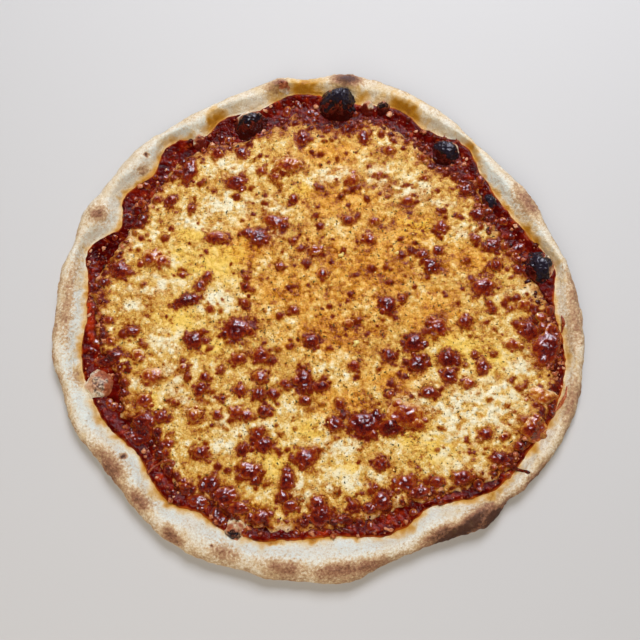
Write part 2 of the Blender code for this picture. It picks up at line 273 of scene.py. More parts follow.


# Dough bubbles: place, half sizes along and across the rim, height of the top, how much of each
# is charred, toasted or smeared with sauce on the side that faces the cheese, where its darkest
# red is also painted shade, and how far from its middle towards the rim the char lies.
Bubble = namedtuple("Bubble", "angle radius along across top char toast smear lean")
BUBBLES = (
    Bubble(83.0, 179, 15, 13, 26, 0.95, 1.2, 1.4, 0.0),
    Bubble(82.0, 195, 10, 7, 19, 0.3, 1.0, 0.0, 0.0),
    Bubble(97.3, 194, 9, 6, 20, 0.25, 0.7, 0.0, 0.0),
    Bubble(108.2, 170, 12, 12, 18, 0.55, 0.65, 1.25, 0.0),
    Bubble(122.9, 175, 6, 6, 13, 0.2, 0.7, 0.7, 0.0),
    Bubble(75.1, 179, 6, 6, 15, 0.0, 0.35, 0.7, 0.0),
    Bubble(71.2, 182, 6, 6, 15, 0.5, 0.9, 0.9, 0.0),
    Bubble(50.1, 171, 10, 10, 17, 0.85, 0.95, 1.3, 0.0),
    Bubble(31.3, 168, 6, 6, 12, 0.8, 0.95, 0.9, 0.0),
    Bubble(9.8, 180, 12, 11, 17, 0.95, 0.8, 1.4, 0.0),
    Bubble(199.4, 178, 11, 10, 14, 0.3, 0.25, 0.4, -0.2),
    Bubble(251.5, 177, 8, 8, 14, 0.45, 0.8, 0.0, 0.3),
)
BUBBLE_ROOT = 2.5                   # its foot is sunk this far in the rim
BUBBLE_SPREAD = 1.22                # reach of its foot, in half sizes of the bubble
BUBBLE_BELL = 1.2                   # power of its profile
BUBBLE_ALLOWANCE = 1.2              # height that is left for the wrinkles
BUBBLE_COLUMNS = 112
BUBBLE_ROWS = 34
BUBBLE_WAVER = ((0.15, 0.9, 61),)   # of its outline, on a circle of radius 1
BUBBLE_APART = 3.0                  # between two bubbles' circles, so that no outline repeats
BUBBLE_MOTTLE = ((1.0, 4.0, 64), (0.5, 1.8, 66))
BUBBLE_GRIT = ((0.28, 1.8, 65),)
BUBBLE_SWELL = (0.10, 0.5, 62)      # height and size in half widths of the bubble, and seed
WRINKLES = (0.6, 2.6, 63)
CHAR_DEPTH = 0.62                   # half depth of the char across the rim, in half widths of the bubble
BLUSH = 0.36                        # how far the dry top of a toasted bubble turns red-brown
SKIRT_RISE = 0.3                    # the rim swells round a bubble by this share of its height
SKIRT_REACH = 1.35                  # in half widths of the bubble

# Toasted patches: picture point of the middle, half sizes along and across the rim in picture
# points, strength.
Toast = namedtuple("Toast", "x y along across strength")
TOASTED = (
    Toast(278, 88, 15, 9, 0.85), Toast(347, 83, 17, 10, 1.2), Toast(318, 84, 12, 4, 0.40),
    Toast(101, 216, 11, 9, 0.75), Toast(144, 171, 8, 6, 0.55), Toast(69, 300, 52, 7, 0.55),
    Toast(80, 375, 12, 9, 0.65), Toast(112, 468, 22, 12, 0.85), Toast(141, 501, 16, 9, 0.80),
    Toast(173, 536, 15, 8, 0.85), Toast(226, 552, 18, 8, 0.60), Toast(285, 567, 30, 8, 0.65),
    Toast(345, 569, 42, 8, 0.80), Toast(464, 528, 40, 8, 1.4), Toast(534, 480, 26, 8, 0.65),
    Toast(572, 400, 30, 8, 0.60), Toast(574, 310, 50, 9, 0.60), Toast(527, 204, 22, 12, 0.65),
    Toast(438, 534, 18, 6, 1.0), Toast(493, 517, 20, 9, 1.35),
    Toast(463, 123, 7, 6, 0.55), Toast(415, 92, 16, 5, 0.35), Toast(168, 148, 22, 5, 0.30),
)
# How far the whole shoulder toasted, and how pale the inner slope is, by direction: partly the
# dough's own paleness and partly painted light.
SHOULDER_TOAST = (
    (0, 0.38), (20, 0.30), (40, 0.26), (60, 0.30), (80, 0.36), (100, 0.24), (120, 0.12), (145, 0.18),
    (165, 0.34), (185, 0.46), (205, 0.44), (225, 0.38), (245, 0.34), (265, 0.36), (285, 0.46),
    (303, 0.62), (322, 0.48), (342, 0.40),
)
PALE_AND_LIT_SLOPE = (
    (0, 0.30), (20, 0.80), (40, 1.10), (60, 0.60), (80, 0.20), (100, 0.40), (120, 1.15), (140, 0.80),
    (160, 0.80), (180, 1.50), (220, 1.00), (260, 0.95), (295, 1.00), (315, 0.45), (335, 0.20),
)
CHARRED_RIM = (Toast(347, 82, 16, 9, 0.5), Toast(480, 524, 32, 9, 0.45))
TOAST_LUMPS = ((0.16, 6.5, 21),)
RIM_SURFACE = 11.0                  # the level at which picture points are brought down to it
PIXEL_ON_RIM = 0.77                 # size of a picture point there
# Pits where steam broke through the rim's skin: picture point, width.
PITS = ((124, 456, 2.2), (148, 157, 2.0), (213, 545, 1.2), (390, 566, 1.3))
PIT_DEPTH = 1.6

# Oil soaked into the rim's inner edge: direction, half its spread, how far it reaches, strength.
Soak = namedtuple("Soak", "angle spread reach strength")
SOAKED = (
    Soak(66, 8, 13, 0.95), Soak(92, 11, 14, 1.0), Soak(78, 7, 9, 0.9), Soak(117, 6, 13, 0.9),
    Soak(45, 5, 8, 0.85), Soak(17, 5, 9, 0.85), Soak(176, 7, 6, 0.75), Soak(208, 5, 6, 0.75),
    Soak(234, 6, 6, 0.95), Soak(273, 8, 6, 0.8), Soak(294, 6, 7, 0.8), Soak(150, 14, 6, 0.65),
    Soak(30, 5, 5, 0.7), Soak(355, 6, 5, 0.7), Soak(215, 5, 6, 0.8),
)
LEAST_SOAK = 5.4
SOAK_REACH_LUMPS = ((2.0, 9.0, 31), (1.0, 4.0, 33))
SOAK_STRENGTH_LUMPS = ((0.35, 14.0, 32),)
SOAK_EDGE_LUMPS = ((0.25, 3.0, 34),)

CRUST_COLUMNS = 1200
RIM_ROWS = 40
EDGE_ROWS = 9
FLOOR_INSETS = (120.0, 60.0, 20.0, 9.0, 4.0)        # rings of the hidden floor, from the foot inwards
UNDERSIDE_INSETS = (12.0, 40.0, 100.0)
SHOULDER_RELIEF = ((0.7, 9.0, 41), (0.35, 4.0, 42))
SKIN_BLISTERS = ((0.5, 2.3, 43),)
PALE_AND_LIT_LUMPS = ((0.3, 11.0, 51),)

crust_angles = np.arange(CRUST_COLUMNS) * 360.0 / CRUST_COLUMNS


def crust_grid():
    """Rings of the dough: its hidden floor, the rim's arch, its rounded edge, the underside.

    The rim's outer half takes the sine of even steps, so that its rows stay evenly spaced as
    the quarter ellipse turns down.  The edge is a quarter ellipse from the bulge to the floor.
    """
    foot = rim_foot(crust_angles)
    outer = around(CRUST_OUTLINE, crust_angles) - SKIN_ROOM
    crest = crest_height(crust_angles)
    rings = []
    for inset in FLOOR_INSETS:
        radius = foot - inset
        rings.append((radius, floor_height(radius, crust_angles)))
    half = RIM_ROWS // 2
    inner_stops = CREST_STOP * np.arange(half) / half
    outer_stops = CREST_STOP + (1 - CREST_STOP) * np.sin(0.5 * np.pi * np.arange(half + 1) / half)
    for stop in np.concatenate((inner_stops, outer_stops)):
        rings.append((foot + (outer - foot) * stop, rim_height(stop, crest)))
    for turn in 0.5 * np.pi * np.arange(1, EDGE_ROWS + 1) / EDGE_ROWS:
        rings.append((outer - UNDERCUT * (1 - np.cos(turn)), BULGE_HEIGHT * (1 - np.sin(turn))))
    for inset in UNDERSIDE_INSETS:
        rings.append((outer - UNDERCUT - inset, np.zeros(CRUST_COLUMNS)))
    return np.stack([np.stack((*place_at(r, crust_angles), z + 0.0 * r), axis=-1) for r, z in rings])


def angle_apart(angles, centre):
    """The turn from one angle to others, the shorter way round."""
    return (angles - centre + 180.0) % 360.0 - 180.0


def rim_patch(x, y, centre, along, across):
    """1 at a place on the rim, falling off as a bell along and across it."""
    radius, angles = polar(x, y)
    centre_radius, centre_angle = polar(*centre)
    turned = np.radians(angle_apart(angles, centre_angle)) * centre_radius
    return np.exp(-((turned / along) ** 2 + ((radius - centre_radius) / across) ** 2))


def photo_patch(x, y, patch):
    """The bell of a patch that is given by its picture point, as high as it is strong."""
    centre = from_photo(patch.x, patch.y, RIM_SURFACE)
    bell = rim_patch(x, y, centre, patch.along * PIXEL_ON_RIM, patch.across * PIXEL_ON_RIM)
    return patch.strength * bell


def oil_edge(x, y):
    """How far the oil has soaked into the rim here, from 1 at the sauce to 0."""
    radius, angles = polar(x, y)
    reach = LEAST_SOAK + layered(SOAK_REACH_LUMPS, x, y)
    strength = 0.65 + layered(SOAK_STRENGTH_LUMPS, x, y)
    for soak in SOAKED:
        bell = np.exp(-(angle_apart(angles, soak.angle) / soak.spread) ** 2)
        reach = reach + (soak.reach - LEAST_SOAK) * bell
        strength = np.maximum(strength, soak.strength * bell)
    past = (radius - rim_foot(angles) + 1.0) / np.maximum(reach, 0.5)
    return strength * (1.0 - eased(past + layered(SOAK_EDGE_LUMPS, x, y), 0.1, 1.4))


crust_shape = crust_grid()
crust_x, crust_y, crust_z = np.moveaxis(crust_shape, -1, 0)
crust_radius = np.hypot(crust_x, crust_y)
upper_rows = np.arange(len(crust_shape)) < len(crust_shape) - len(UNDERSIDE_INSETS) - EDGE_ROWS
rim_foot_here = rim_foot(crust_angles)
on_rim = eased(crust_z, 5.5, 7.5) * (crust_radius > rim_foot_here - 1.0)
rim_stop = (crust_radius - rim_foot_here) / (around(CRUST_OUTLINE, crust_angles) - rim_foot_here)
toast = np.zeros(crust_x.shape)
for patch in TOASTED:
    toast = np.maximum(toast, photo_patch(crust_x, crust_y, patch))
shoulder = around(SHOULDER_TOAST, crust_angles) * eased(rim_stop, 0.45, 1.0)
toast = np.hypot(toast, shoulder) + layered(TOAST_LUMPS, crust_x, crust_y) * eased(rim_stop, 0.2, 0.7)
# A pale lip stays along the very edge, where the rim curls under and the heat is less.
toast = toast * (0.25 + 0.75 * eased(crust_z, 3.5, 8.5))
burnt = [photo_patch(crust_x, crust_y, patch) for patch in CHARRED_RIM]
charred = eased(np.maximum.reduce(burnt), 0.25, 0.9)
dents = np.zeros(crust_x.shape)
for px, py, width in PITS:
    pit_x, pit_y = from_photo(px, py, RIM_SURFACE)
    dents = np.maximum(dents, np.exp(-((crust_x - pit_x) ** 2 + (crust_y - pit_y) ** 2) / width ** 2))
# The pits are painted dark inside through the toast mark, as shade.
toast = np.maximum(toast, 1.3 * dents)

skirts = np.zeros(crust_x.shape)
beside_bubble = np.zeros(crust_x.shape)
for bubble in BUBBLES:
    centre = place_at(bubble.radius, bubble.angle)
    bell = rim_patch(crust_x, crust_y, centre, bubble.along * SKIRT_REACH, bubble.across * SKIRT_REACH)
    skirts = np.maximum(skirts, (bubble.top - FOOT_HEIGHT) * SKIRT_RISE * bell)
    beside_bubble = np.maximum(beside_bubble, bell)

relief = layered(SHOULDER_RELIEF, crust_shape, kind=grain) - PIT_DEPTH * dents
relief = relief + layered(SKIN_BLISTERS, crust_shape, kind=grain) * (0.35 + eased(toast, 0.1, 0.6))
crust_shape = crust_shape + outward(crust_shape) * (relief * on_rim)[..., None]
crust_shape[..., 2] = crust_shape[..., 2] + skirts * on_rim * upper_rows[:, None]

crust_points, crust_faces = closed_grid(crust_shape, (0, 0, BASE_THICKNESS), (0, 0, 0))


def with_poles(mark):
    """A mark for each point of a closed grid, 0 at its two end points."""
    return np.concatenate((mark.ravel(), (0.0, 0.0)))


# The inner slope's pale mark is partly the dough's own paleness and partly painted light, which the
# material makes blue-white like the cool window's light.
pale = around(PALE_AND_LIT_SLOPE, crust_angles) * (1.0 - eased(rim_stop, 0.35, 0.75))
pale = pale * (0.8 + layered(PALE_AND_LIT_LUMPS, crust_x, crust_y))
past_crest = np.arange(len(crust_shape)) > len(FLOOR_INSETS) + RIM_ROWS // 2
underneath = (1.0 - eased(crust_z, 0.6, 3.2)) * past_crest[:, None]
crust = put_mesh("dough_round", crust_points, crust_faces.tolist(), {
    "toasted": with_poles(toast),
    "charred": with_poles(charred),
    "oiled": with_poles(oil_edge(crust_x, crust_y) * (1.0 - 0.7 * beside_bubble)),
    "pale": with_poles(pale),
    "smeared_and_shaded": with_poles(np.zeros(crust_x.shape)),
    "underneath": with_poles(underneath),
})


def bubble_mesh(bubble, number):
    """A blown-up bubble of dough: a bell of uneven width over the rim, sunk at its foot.

    Its height is a power of one minus the squared share of its width, which makes a round top
    and a sloping side.  Swellings, wrinkles and grit are pushed outwards from it.  Char lies as
    an uneven ellipse on the top, which is about half as deep as it is long.
    """
    turn = 2.0 * np.pi * np.arange(BUBBLE_COLUMNS) / BUBBLE_COLUMNS
    share = (np.arange(BUBBLE_ROWS) + 0.5) / BUBBLE_ROWS
    share, turn = np.meshgrid(share, turn, indexing="ij")
    circle = np.stack((np.cos(turn), np.sin(turn), 0.0 * turn + BUBBLE_APART * number), axis=-1)
    uneven = 1.0 + layered(BUBBLE_WAVER, circle, kind=grain)
    full = bubble.top - FOOT_HEIGHT - BUBBLE_ALLOWANCE + BUBBLE_ROOT
    height = full * (1.0 - share ** 2) ** BUBBLE_BELL - BUBBLE_ROOT
    outwards = share * np.cos(turn)
    sideways = share * np.sin(turn)
    across = bubble.across * BUBBLE_SPREAD * uneven * outwards
    along = bubble.along * BUBBLE_SPREAD * uneven * sideways
    angle = np.radians(bubble.angle)
    out = np.array((np.cos(angle), np.sin(angle), 0.0))
    side = np.array((-np.sin(angle), np.cos(angle), 0.0))
    grid = out * bubble.radius + across[..., None] * out + along[..., None] * side
    grid[..., 2] = FOOT_HEIGHT + height
    width = min(bubble.across, bubble.along)
    mottled = layered(BUBBLE_MOTTLE, grid, kind=grain)
    extent = 0.35 + 0.45 * bubble.char
    from_middle = np.hypot(0.85 * sideways, (outwards - bubble.lean) / CHAR_DEPTH)
    char = 1.0 - eased(from_middle + 0.35 * mottled, extent - 0.2, extent + 0.35)
    char = char * (bubble.char > 0.15) * min(1.0, 0.05 + 1.1 * bubble.char)
    height_share, size, seed = WRINKLES
    wrinkles = height_share * (1.0 - 2.4 * np.abs(grain(grid, size, seed))) * (0.3 + char)
    height_share, size, seed = BUBBLE_SWELL
    swelling = height_share * width * grain(grid, size * width, seed)
    pushed = swelling + wrinkles + layered(BUBBLE_GRIT, grid, kind=grain)
    grid = grid + outward(grid) * pushed[..., None]
    high = height / (full - BUBBLE_ROOT)
    brown = bubble.toast * eased(high + 0.5 * mottled, 0.75 - 1.3 * bubble.toast, 1.0)
    # The side that faces the cheese is smeared with sauce; on the far bubbles that side faces away from
    # the light, and its deep dark red is partly painted shade.
    smear = np.minimum(bubble.smear, 1.0) * (1.0 - 0.9 * char) * eased(
        0.5 * bubble.smear + 0.4 * mottled - outwards - 0.3 * high, 0.0, 0.6)
    # The drier top of each bubble blushed red-brown in the oven before it charred.
    blush = BLUSH * min(1.0, 0.4 + bubble.toast)
    smear = np.maximum(smear, blush * eased(high + 0.6 * mottled, 0.15, 0.85))
    oiled = 0.35 * eased(0.5 - high + 0.4 * mottled, 0.0, 0.6) * eased(-outwards, -0.4, 0.5)
    nothing = np.zeros(high.shape)
    points, faces = closed_grid(grid, grid[0].mean(axis=0), grid[-1].mean(axis=0) - (0.0, 0.0, 1.0))
    return points, faces, (brown, char, oiled, nothing, smear, nothing)


def joined(parts):
    """Stacks several closed meshes with their marks into one."""
    points, faces, marks, start = [], [], [], 0
    for part_points, part_faces, part_marks in parts:
        points.append(part_points)
        faces.append(part_faces + start)
        marks.append(part_marks)
        start += len(part_points)
    return np.concatenate(points), np.concatenate(faces), [np.concatenate(mark) for mark in zip(*marks)]


def pole_marks(marks):
    """Each mark of a grid as a list, which ends with its mean over the first and last ring."""
    return [np.concatenate((mark.ravel(), (mark[0].mean(), mark[-1].mean()))) for mark in marks]


bubble_parts = []
for number, bubble in enumerate(BUBBLES):
    points, faces, marks = bubble_mesh(bubble, number)
    bubble_parts.append((points, faces, pole_marks(marks)))
bubble_points, bubble_faces, bubble_marks = joined(bubble_parts)
dough_marks = ("toasted", "charred", "oiled", "pale", "smeared_and_shaded", "underneath")
bubbles = put_mesh("dough_bubbles", bubble_points, bubble_faces.tolist(), zip(dough_marks, bubble_marks))


def linear(hex_colour):
    """A colour that is given as sRGB hex, in the linear values that shaders take."""
    channels = [int(hex_colour[i:i + 2], 16) / 255.0 for i in (1, 3, 5)]
    return (*[c / 12.92 if c <= 0.04045 else ((c + 0.055) / 1.055) ** 2.4 for c in channels], 1.0)


def plug(tree, node, inputs):
    """Links the inputs that are other nodes' outputs, and sets the rest as plain values."""
    for name, value in inputs.items():
        if isinstance(value, bpy.types.NodeSocket):
            tree.links.new(value, node.inputs[name])
        else:
            node.inputs[name].default_value = linear(value) if isinstance(value, str) else value


def add(tree, kind, inputs, out=0, **settings):
    """Adds a node with its settings and inputs, and returns one of its outputs."""
    node = tree.nodes.new("ShaderNode" + kind)
    for name, value in settings.items():
        setattr(node, name, value)
    plug(tree, node, inputs)
    return node.outputs[out]


COLOURS = {"out": 2, "data_type": "RGBA"}           # for a node that mixes two colours
SOFT_STEP = {"interpolation_type": "SMOOTHSTEP"}


def new_material(name, marks=()):
    """A new material, its tree and shader, the place on the object, and its pieces' marks."""
    material = bpy.data.materials.new(name)
    material.use_nodes = True
    tree = material.node_tree
    place = add(tree, "TexCoord", {}, "Object")
    mark = {name: add(tree, "Attribute", {}, "Fac", attribute_name=name) for name in marks}
    return material, tree, tree.nodes["Principled BSDF"], place, mark


def shaded(tree, level, stops):
    """A colour that runs through (level, sRGB hex) stops as the level rises."""
    colour = stops[0][1]
    for (low, _), (high, shade) in zip(stops, stops[1:]):
        reached = add(tree, "MapRange", {0: level, 1: low, 2: high})
        colour = add(tree, "Mix", {0: reached, 6: colour, 7: shade}, **COLOURS)
    return colour


TOAST_SHADES = ((0.1, "#E2C89C"), (0.35, "#C9A67A"), (0.7, "#99694A"), (1.1, "#50301F"))
OIL_SHADES = ((0.1, "#E8CA80"), (0.45, "#D9A53A"), (0.8, "#B97C16"), (1.15, "#8A4A0A"))
# Sauce smeared on the dough, thin and orange-brown to thick and dark; the darkest two are also painted
# shade.
SMEAR_AND_SHADE_COLOURS = (
    (0.1, "#D89C74"), (0.35, "#AC5C32"), (0.6, "#741C0A"), (0.9, "#420602"), (1.15, "#260201"),
)
# Char from brown at its edge to black; the last, blue-grey stop is ash with a painted sheen of the cool
# light on it.
CHAR_ASH_AND_SHEEN_SHADES = ((0.15, "#6A2E1A"), (0.4, "#38130C"), (0.65, "#181015"), (1.25, "#2A2430"))


def baked_dough():
    """Baked wheat dough: a dry matt skin, cream where steam kept it soft and speckled brown
    where it blistered; black and crusty where it burnt, and glossy orange where oil soaked in.
    """
    material, tree, shader, place, mark = new_material("baked_dough", dough_marks)
    broad, speck, fine, spots = (
        add(tree, "TexNoise", {"Vector": place, "Scale": 1 / (size * MM), "Detail": octaves})
        for size, octaves in ((9.0, 3.0), (2.0, 4.0), (0.9, 2.0), (16.0, 4.0))
    )
    spread = add(tree, "MapRange", {0: broad, 1: 0.35, 2: 0.65})
    floury = add(tree, "MapRange", {0: mark["pale"], 3: 0.65, 4: 0.25})
    dusty = add(tree, "MapRange", {0: speck, 1: 0.4, 2: 0.7, 3: 0.0, 4: floury})
    sandy = add(tree, "MapRange", {0: fine, 1: 0.45, 2: 0.7, 3: 0.0, 4: floury})
    colour = "#F1E6CF"
    # The inner slope's pale mark turns it blue-white and less dusty: partly its own paleness, partly
    # painted light.
    flours = (spread, "#E3CEA9"), (mark["pale"], "#DFE2D6"), (dusty, "#C6A878"), (sandy, "#B9946A")
    for amount, shade in flours:
        colour = add(tree, "Mix", {0: amount, 6: colour, 7: shade}, **COLOURS)
    # Toast shows first on the tops of the skin's small blisters, so specks are added to it.
    specked = add(tree, "Math", {0: speck, 1: 1.0, 2: -0.7}, operation="MULTIPLY_ADD")
    specked = add(tree, "Math", {0: fine, 1: 0.4, 2: specked}, operation="MULTIPLY_ADD")
    toasted = add(tree, "Math", {0: mark["toasted"], 1: specked}, operation="ADD")
    oiled = add(tree, "Math", {0: broad, 1: 0.7, 2: -0.35}, operation="MULTIPLY_ADD")
    oiled = add(tree, "Math", {0: mark["oiled"], 1: oiled}, operation="ADD")
    thick = add(tree, "Math", {0: specked, 1: 0.6, 2: mark["smeared_and_shaded"]}, operation="MULTIPLY_ADD")
    charred = add(tree, "Math", {0: mark["charred"], 1: specked}, operation="ADD")
    # Toast, then soaked oil, then smeared sauce, orange-brown in specks where it is thin and deep red
    # where it is thick, its darkest reds painted shade; and then char, brown at its edge and with a
    # bloom of ash on its highest wrinkles, whose blue-grey tint is a painted sheen.
    for level, amount, low, high, stops in (
        (toasted, toasted, 0.0, 0.45, TOAST_SHADES),
        (oiled, oiled, 0.0, 0.8, OIL_SHADES),
        (thick, mark["smeared_and_shaded"], 0.0, 0.4, SMEAR_AND_SHADE_COLOURS),
        (charred, charred, 0.1, 0.6, CHAR_ASH_AND_SHEEN_SHADES),
    ):
        reached = add(tree, "MapRange", {0: amount, 1: low, 2: high}, **SOFT_STEP)
        colour = add(tree, "Mix", {0: reached, 6: colour, 7: shaded(tree, level, stops)}, **COLOURS)
    burnt = reached
    # The underside has brown spots where it touched the hot floor.
    spots = add(tree, "MapRange", {0: spots, 1: 0.42, 2: 0.62}, **SOFT_STEP)
    under = add(tree, "Mix", {0: spots, 6: "#D9B985", 7: "#8B5529"}, **COLOURS)
    colour = add(tree, "Mix", {0: mark["underneath"], 6: colour, 7: under}, **COLOURS)
    rough = add(tree, "MapRange", {0: mark["oiled"], 1: 0.2, 2: 0.9, 3: 0.75, 4: 0.35})
    rough = add(tree, "MapRange", {0: mark["smeared_and_shaded"], 3: rough, 4: 0.25})
    rough = add(tree, "MapRange", {0: burnt, 3: rough, 4: 0.2})
    skin = add(tree, "Math", {0: speck, 1: fine}, operation="ADD")
    taut = add(tree, "MapRange", {0: burnt, 3: 1.0, 4: 0.3})
    bump = add(tree, "Bump", {"Strength": taut, "Distance": 0.8 * MM, "Height": skin})
    plug(tree, shader, {
        "Base Color": colour, "Specular IOR Level": 0.35, "Roughness": rough, "Normal": bump,
    })
    return material


dough = baked_dough()
for piece in (crust, bubbles):
    piece.data.materials.append(dough)
    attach(piece, "root")
    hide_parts("crust")


# ==== Tomato sauce =================================================================
# Crushed tomato spread thinly over the dough.  It shows as a ragged ring past the cheese, where
# the oven has thickened it to a dark glossy red.

SAUCE_THICKNESS = 1.55
SAUCE_LIP = 4.0                     # it thins to nothing over this width
SAUCE_SUNK = 0.35                   # its edge ends this far below the dough's surface
SAUCE_PAST_FOOT = 0.2               # its edge lies this far up the rim
SAUCE_RING = 2.0                    # least width of it that shows past the cheese
SAUCE_PRESSED = 0.3                 # how much thinner it is under the cheese
SAUCE_UNDER_CHEESE = 14.0
SAUCE_ROWS = 44
SAUCE_COLUMNS = 1200
SAUCE_UNDERSIDE = (2.0, 5.0, 9.0, 14.0)
SAUCE_SURFACE = 7.5                 # the level at which picture points are brought down to it
PIXEL_ON_SAUCE = 0.77               # size of a picture point there
# Where the sauce is thin and orange-red, or thick and dark (below 0): picture point, half width,
# half height, strength.
SAUCE_SPOTS = (
    (91, 312, 5, 30, 1.0), (233, 500, 15, 8, 1.0), (213, 493, 9, 7, 1.0), (160, 478, 6, 5, 1.0),
    (98, 358, 6, 6, 1.0), (106, 246, 22, 24, -0.5), (390, 519, 34, 7, 0.15), (300, 535, 50, 8, 0.35),
)
CHEESE_OUTLINE = (
    (0, 180), (10, 171), (20, 161), (30, 161), (36, 167), (50, 160), (62, 166), (73, 169),
    (83, 160), (95, 167), (110, 156), (124, 170), (143, 166), (157, 165), (172, 177),
    (185, 174), (200, 163), (208, 169), (217, 160), (234, 170), (241, 165), (250, 170),
    (270, 168), (290, 165), (305, 173), (320, 190), (338, 195), (350, 189),
)
CHEESE_EDGE_LUMPS = ((2.2, 17.0, 5), (2.6, 7.0, 73), (1.5, 3.0, 74))
SAUCE_EDGE_LUMPS = ((0.9, 7.0, 71), (0.5, 3.0, 72))
PULP_CURDS = (1.8, 3.4, 76)         # height, size and seed of its packed domes
PULP_LUMPS = ((0.7, 5.0, 75), (0.5, 1.7, 77))
PULP_RELIEF = 0.36
SPOT_EDGE_LUMPS = ((0.3, 5.0, 78),)


def curdled(x, y, size, seed):
    """Domes packed side by side, 1 at the middle of each and 0 in the gaps between.

    Each lattice square holds one random point with a random weight, and a dome falls off with
    the squared distance to the nearest point.
    """
    random = np.random.default_rng(seed).uniform(0.0, 1.0, (3, LATTICE * 2, LATTICE * 2))
    across = x / size + LATTICE
    along = y / size + LATTICE
    nearest, weight = np.full(x.shape, 9.0), np.zeros(x.shape)
    for di, dj in np.ndindex(3, 3):
        i = (np.floor(across) + di - 1).astype(int)
        j = (np.floor(along) + dj - 1).astype(int)
        at = i % (2 * LATTICE), j % (2 * LATTICE)
        away = np.hypot(across - i - random[0][at], along - j - random[1][at])
        weight = np.where(away < nearest, random[2][at], weight)
        nearest = np.minimum(nearest, away)
    return (0.4 + 0.6 * weight) * np.clip(1.0 - (nearest / 0.75) ** 2, 0.0, 1.0)


def ridged(x, y, size, seed):
    """Soft winding ridges, 1 on the ridge and near -1 between: where uneven values cross 0."""
    return 1.0 - 2.4 * np.abs(lumps(x, y, size, seed))


def sauce_edge(angles):
    """The sauce's ragged outline, close to the rim's foot."""
    foot = rim_foot(angles)
    return foot + SAUCE_PAST_FOOT + layered(SAUCE_EDGE_LUMPS, *place_at(foot, angles))


def cheese_edge(angles):
    """The cheese's ragged outline, always inside the sauce's."""
    radius = around(CHEESE_OUTLINE, angles)
    ragged = radius + layered(CHEESE_EDGE_LUMPS, *place_at(radius, angles))
    return np.minimum(ragged, sauce_edge(angles) - SAUCE_RING)


def sauce_top(radius, angles):
    """Top of the sauce: even, then rounding down to its edge, where it ends in the dough."""
    inside = np.clip((sauce_edge(angles) - radius) / SAUCE_LIP, 0.0, 1.0)
    thickness = (SAUCE_THICKNESS + SAUCE_SUNK) * np.sqrt(1.0 - (1.0 - inside) ** 2) - SAUCE_SUNK
    return dough_top(radius, angles) + thickness


def sauce_surface(x, y):
    """Top of the sauce with its crushed pulp, and its marks: pulp's height, thin, bright."""
    radius, angles = polar(x, y)
    bare = eased(radius - cheese_edge(angles), -4.0, 1.0)
    thick = eased(sauce_edge(angles) - radius, 0.0, 3.0)
    height, size, seed = PULP_CURDS
    pulp = height * (curdled(x, y, size, seed) - 0.4) + layered(PULP_LUMPS, x, y)
    bright = np.zeros(x.shape)
    for px, py, wide, high, strength in SAUCE_SPOTS:
        cx, cy = from_photo(px, py, SAUCE_SURFACE)
        away = np.hypot((x - cx) / (wide * PIXEL_ON_SAUCE), (y - cy) / (high * PIXEL_ON_SAUCE))
        bright = bright + strength * (1.0 - eased(away + layered(SPOT_EDGE_LUMPS, x, y), 0.5, 1.3))
    top = sauce_top(radius, angles) + PULP_RELIEF * pulp * bare * thick - SAUCE_PRESSED * (1.0 - bare)
    return top, {"pulp": pulp, "thin": 1.0 - thick, "bright": bright}


sauce_angles = np.arange(SAUCE_COLUMNS) * 360.0 / SAUCE_COLUMNS
inner = cheese_edge(sauce_angles) - SAUCE_UNDER_CHEESE
share = np.linspace(0.0, 1.0, SAUCE_ROWS)[:, None]
sauce_radius = inner + (sauce_edge(sauce_angles) - inner) * share
sauce_x, sauce_y = place_at(sauce_radius, sauce_angles)
sauce_z, sauce_marks = sauce_surface(sauce_x, sauce_y)
sauce_rings = [np.stack((sauce_x, sauce_y, sauce_z), axis=-1)]
# The underside runs back inwards just below the dough's surface.
for inset in SAUCE_UNDERSIDE:
    under = sauce_radius[-1] - inset
    under_z = dough_top(under, sauce_angles) - 2.0 * SAUCE_SUNK
    sauce_rings.append(np.stack((*place_at(under, sauce_angles), under_z), axis=-1)[None])
sauce_shape = np.concatenate(sauce_rings)
middle_top = BASE_THICKNESS + SAUCE_THICKNESS - SAUCE_PRESSED
middle_bottom = BASE_THICKNESS - 2.0 * SAUCE_SUNK
sauce_points, sauce_faces = closed_grid(sauce_shape, (0, 0, middle_top), (0, 0, middle_bottom))
hidden = np.zeros((len(SAUCE_UNDERSIDE), SAUCE_COLUMNS))
sauce = put_mesh("sauce_layer", sauce_points, sauce_faces.tolist(), {
    name: with_poles(np.concatenate((mark, hidden))) for name, mark in sauce_marks.items()
})


SAUCE_SHADES = ((-0.7, "#2E0101"), (-0.2, "#480301"), (0.3, "#620B03"), (0.95, "#A02C0A"))


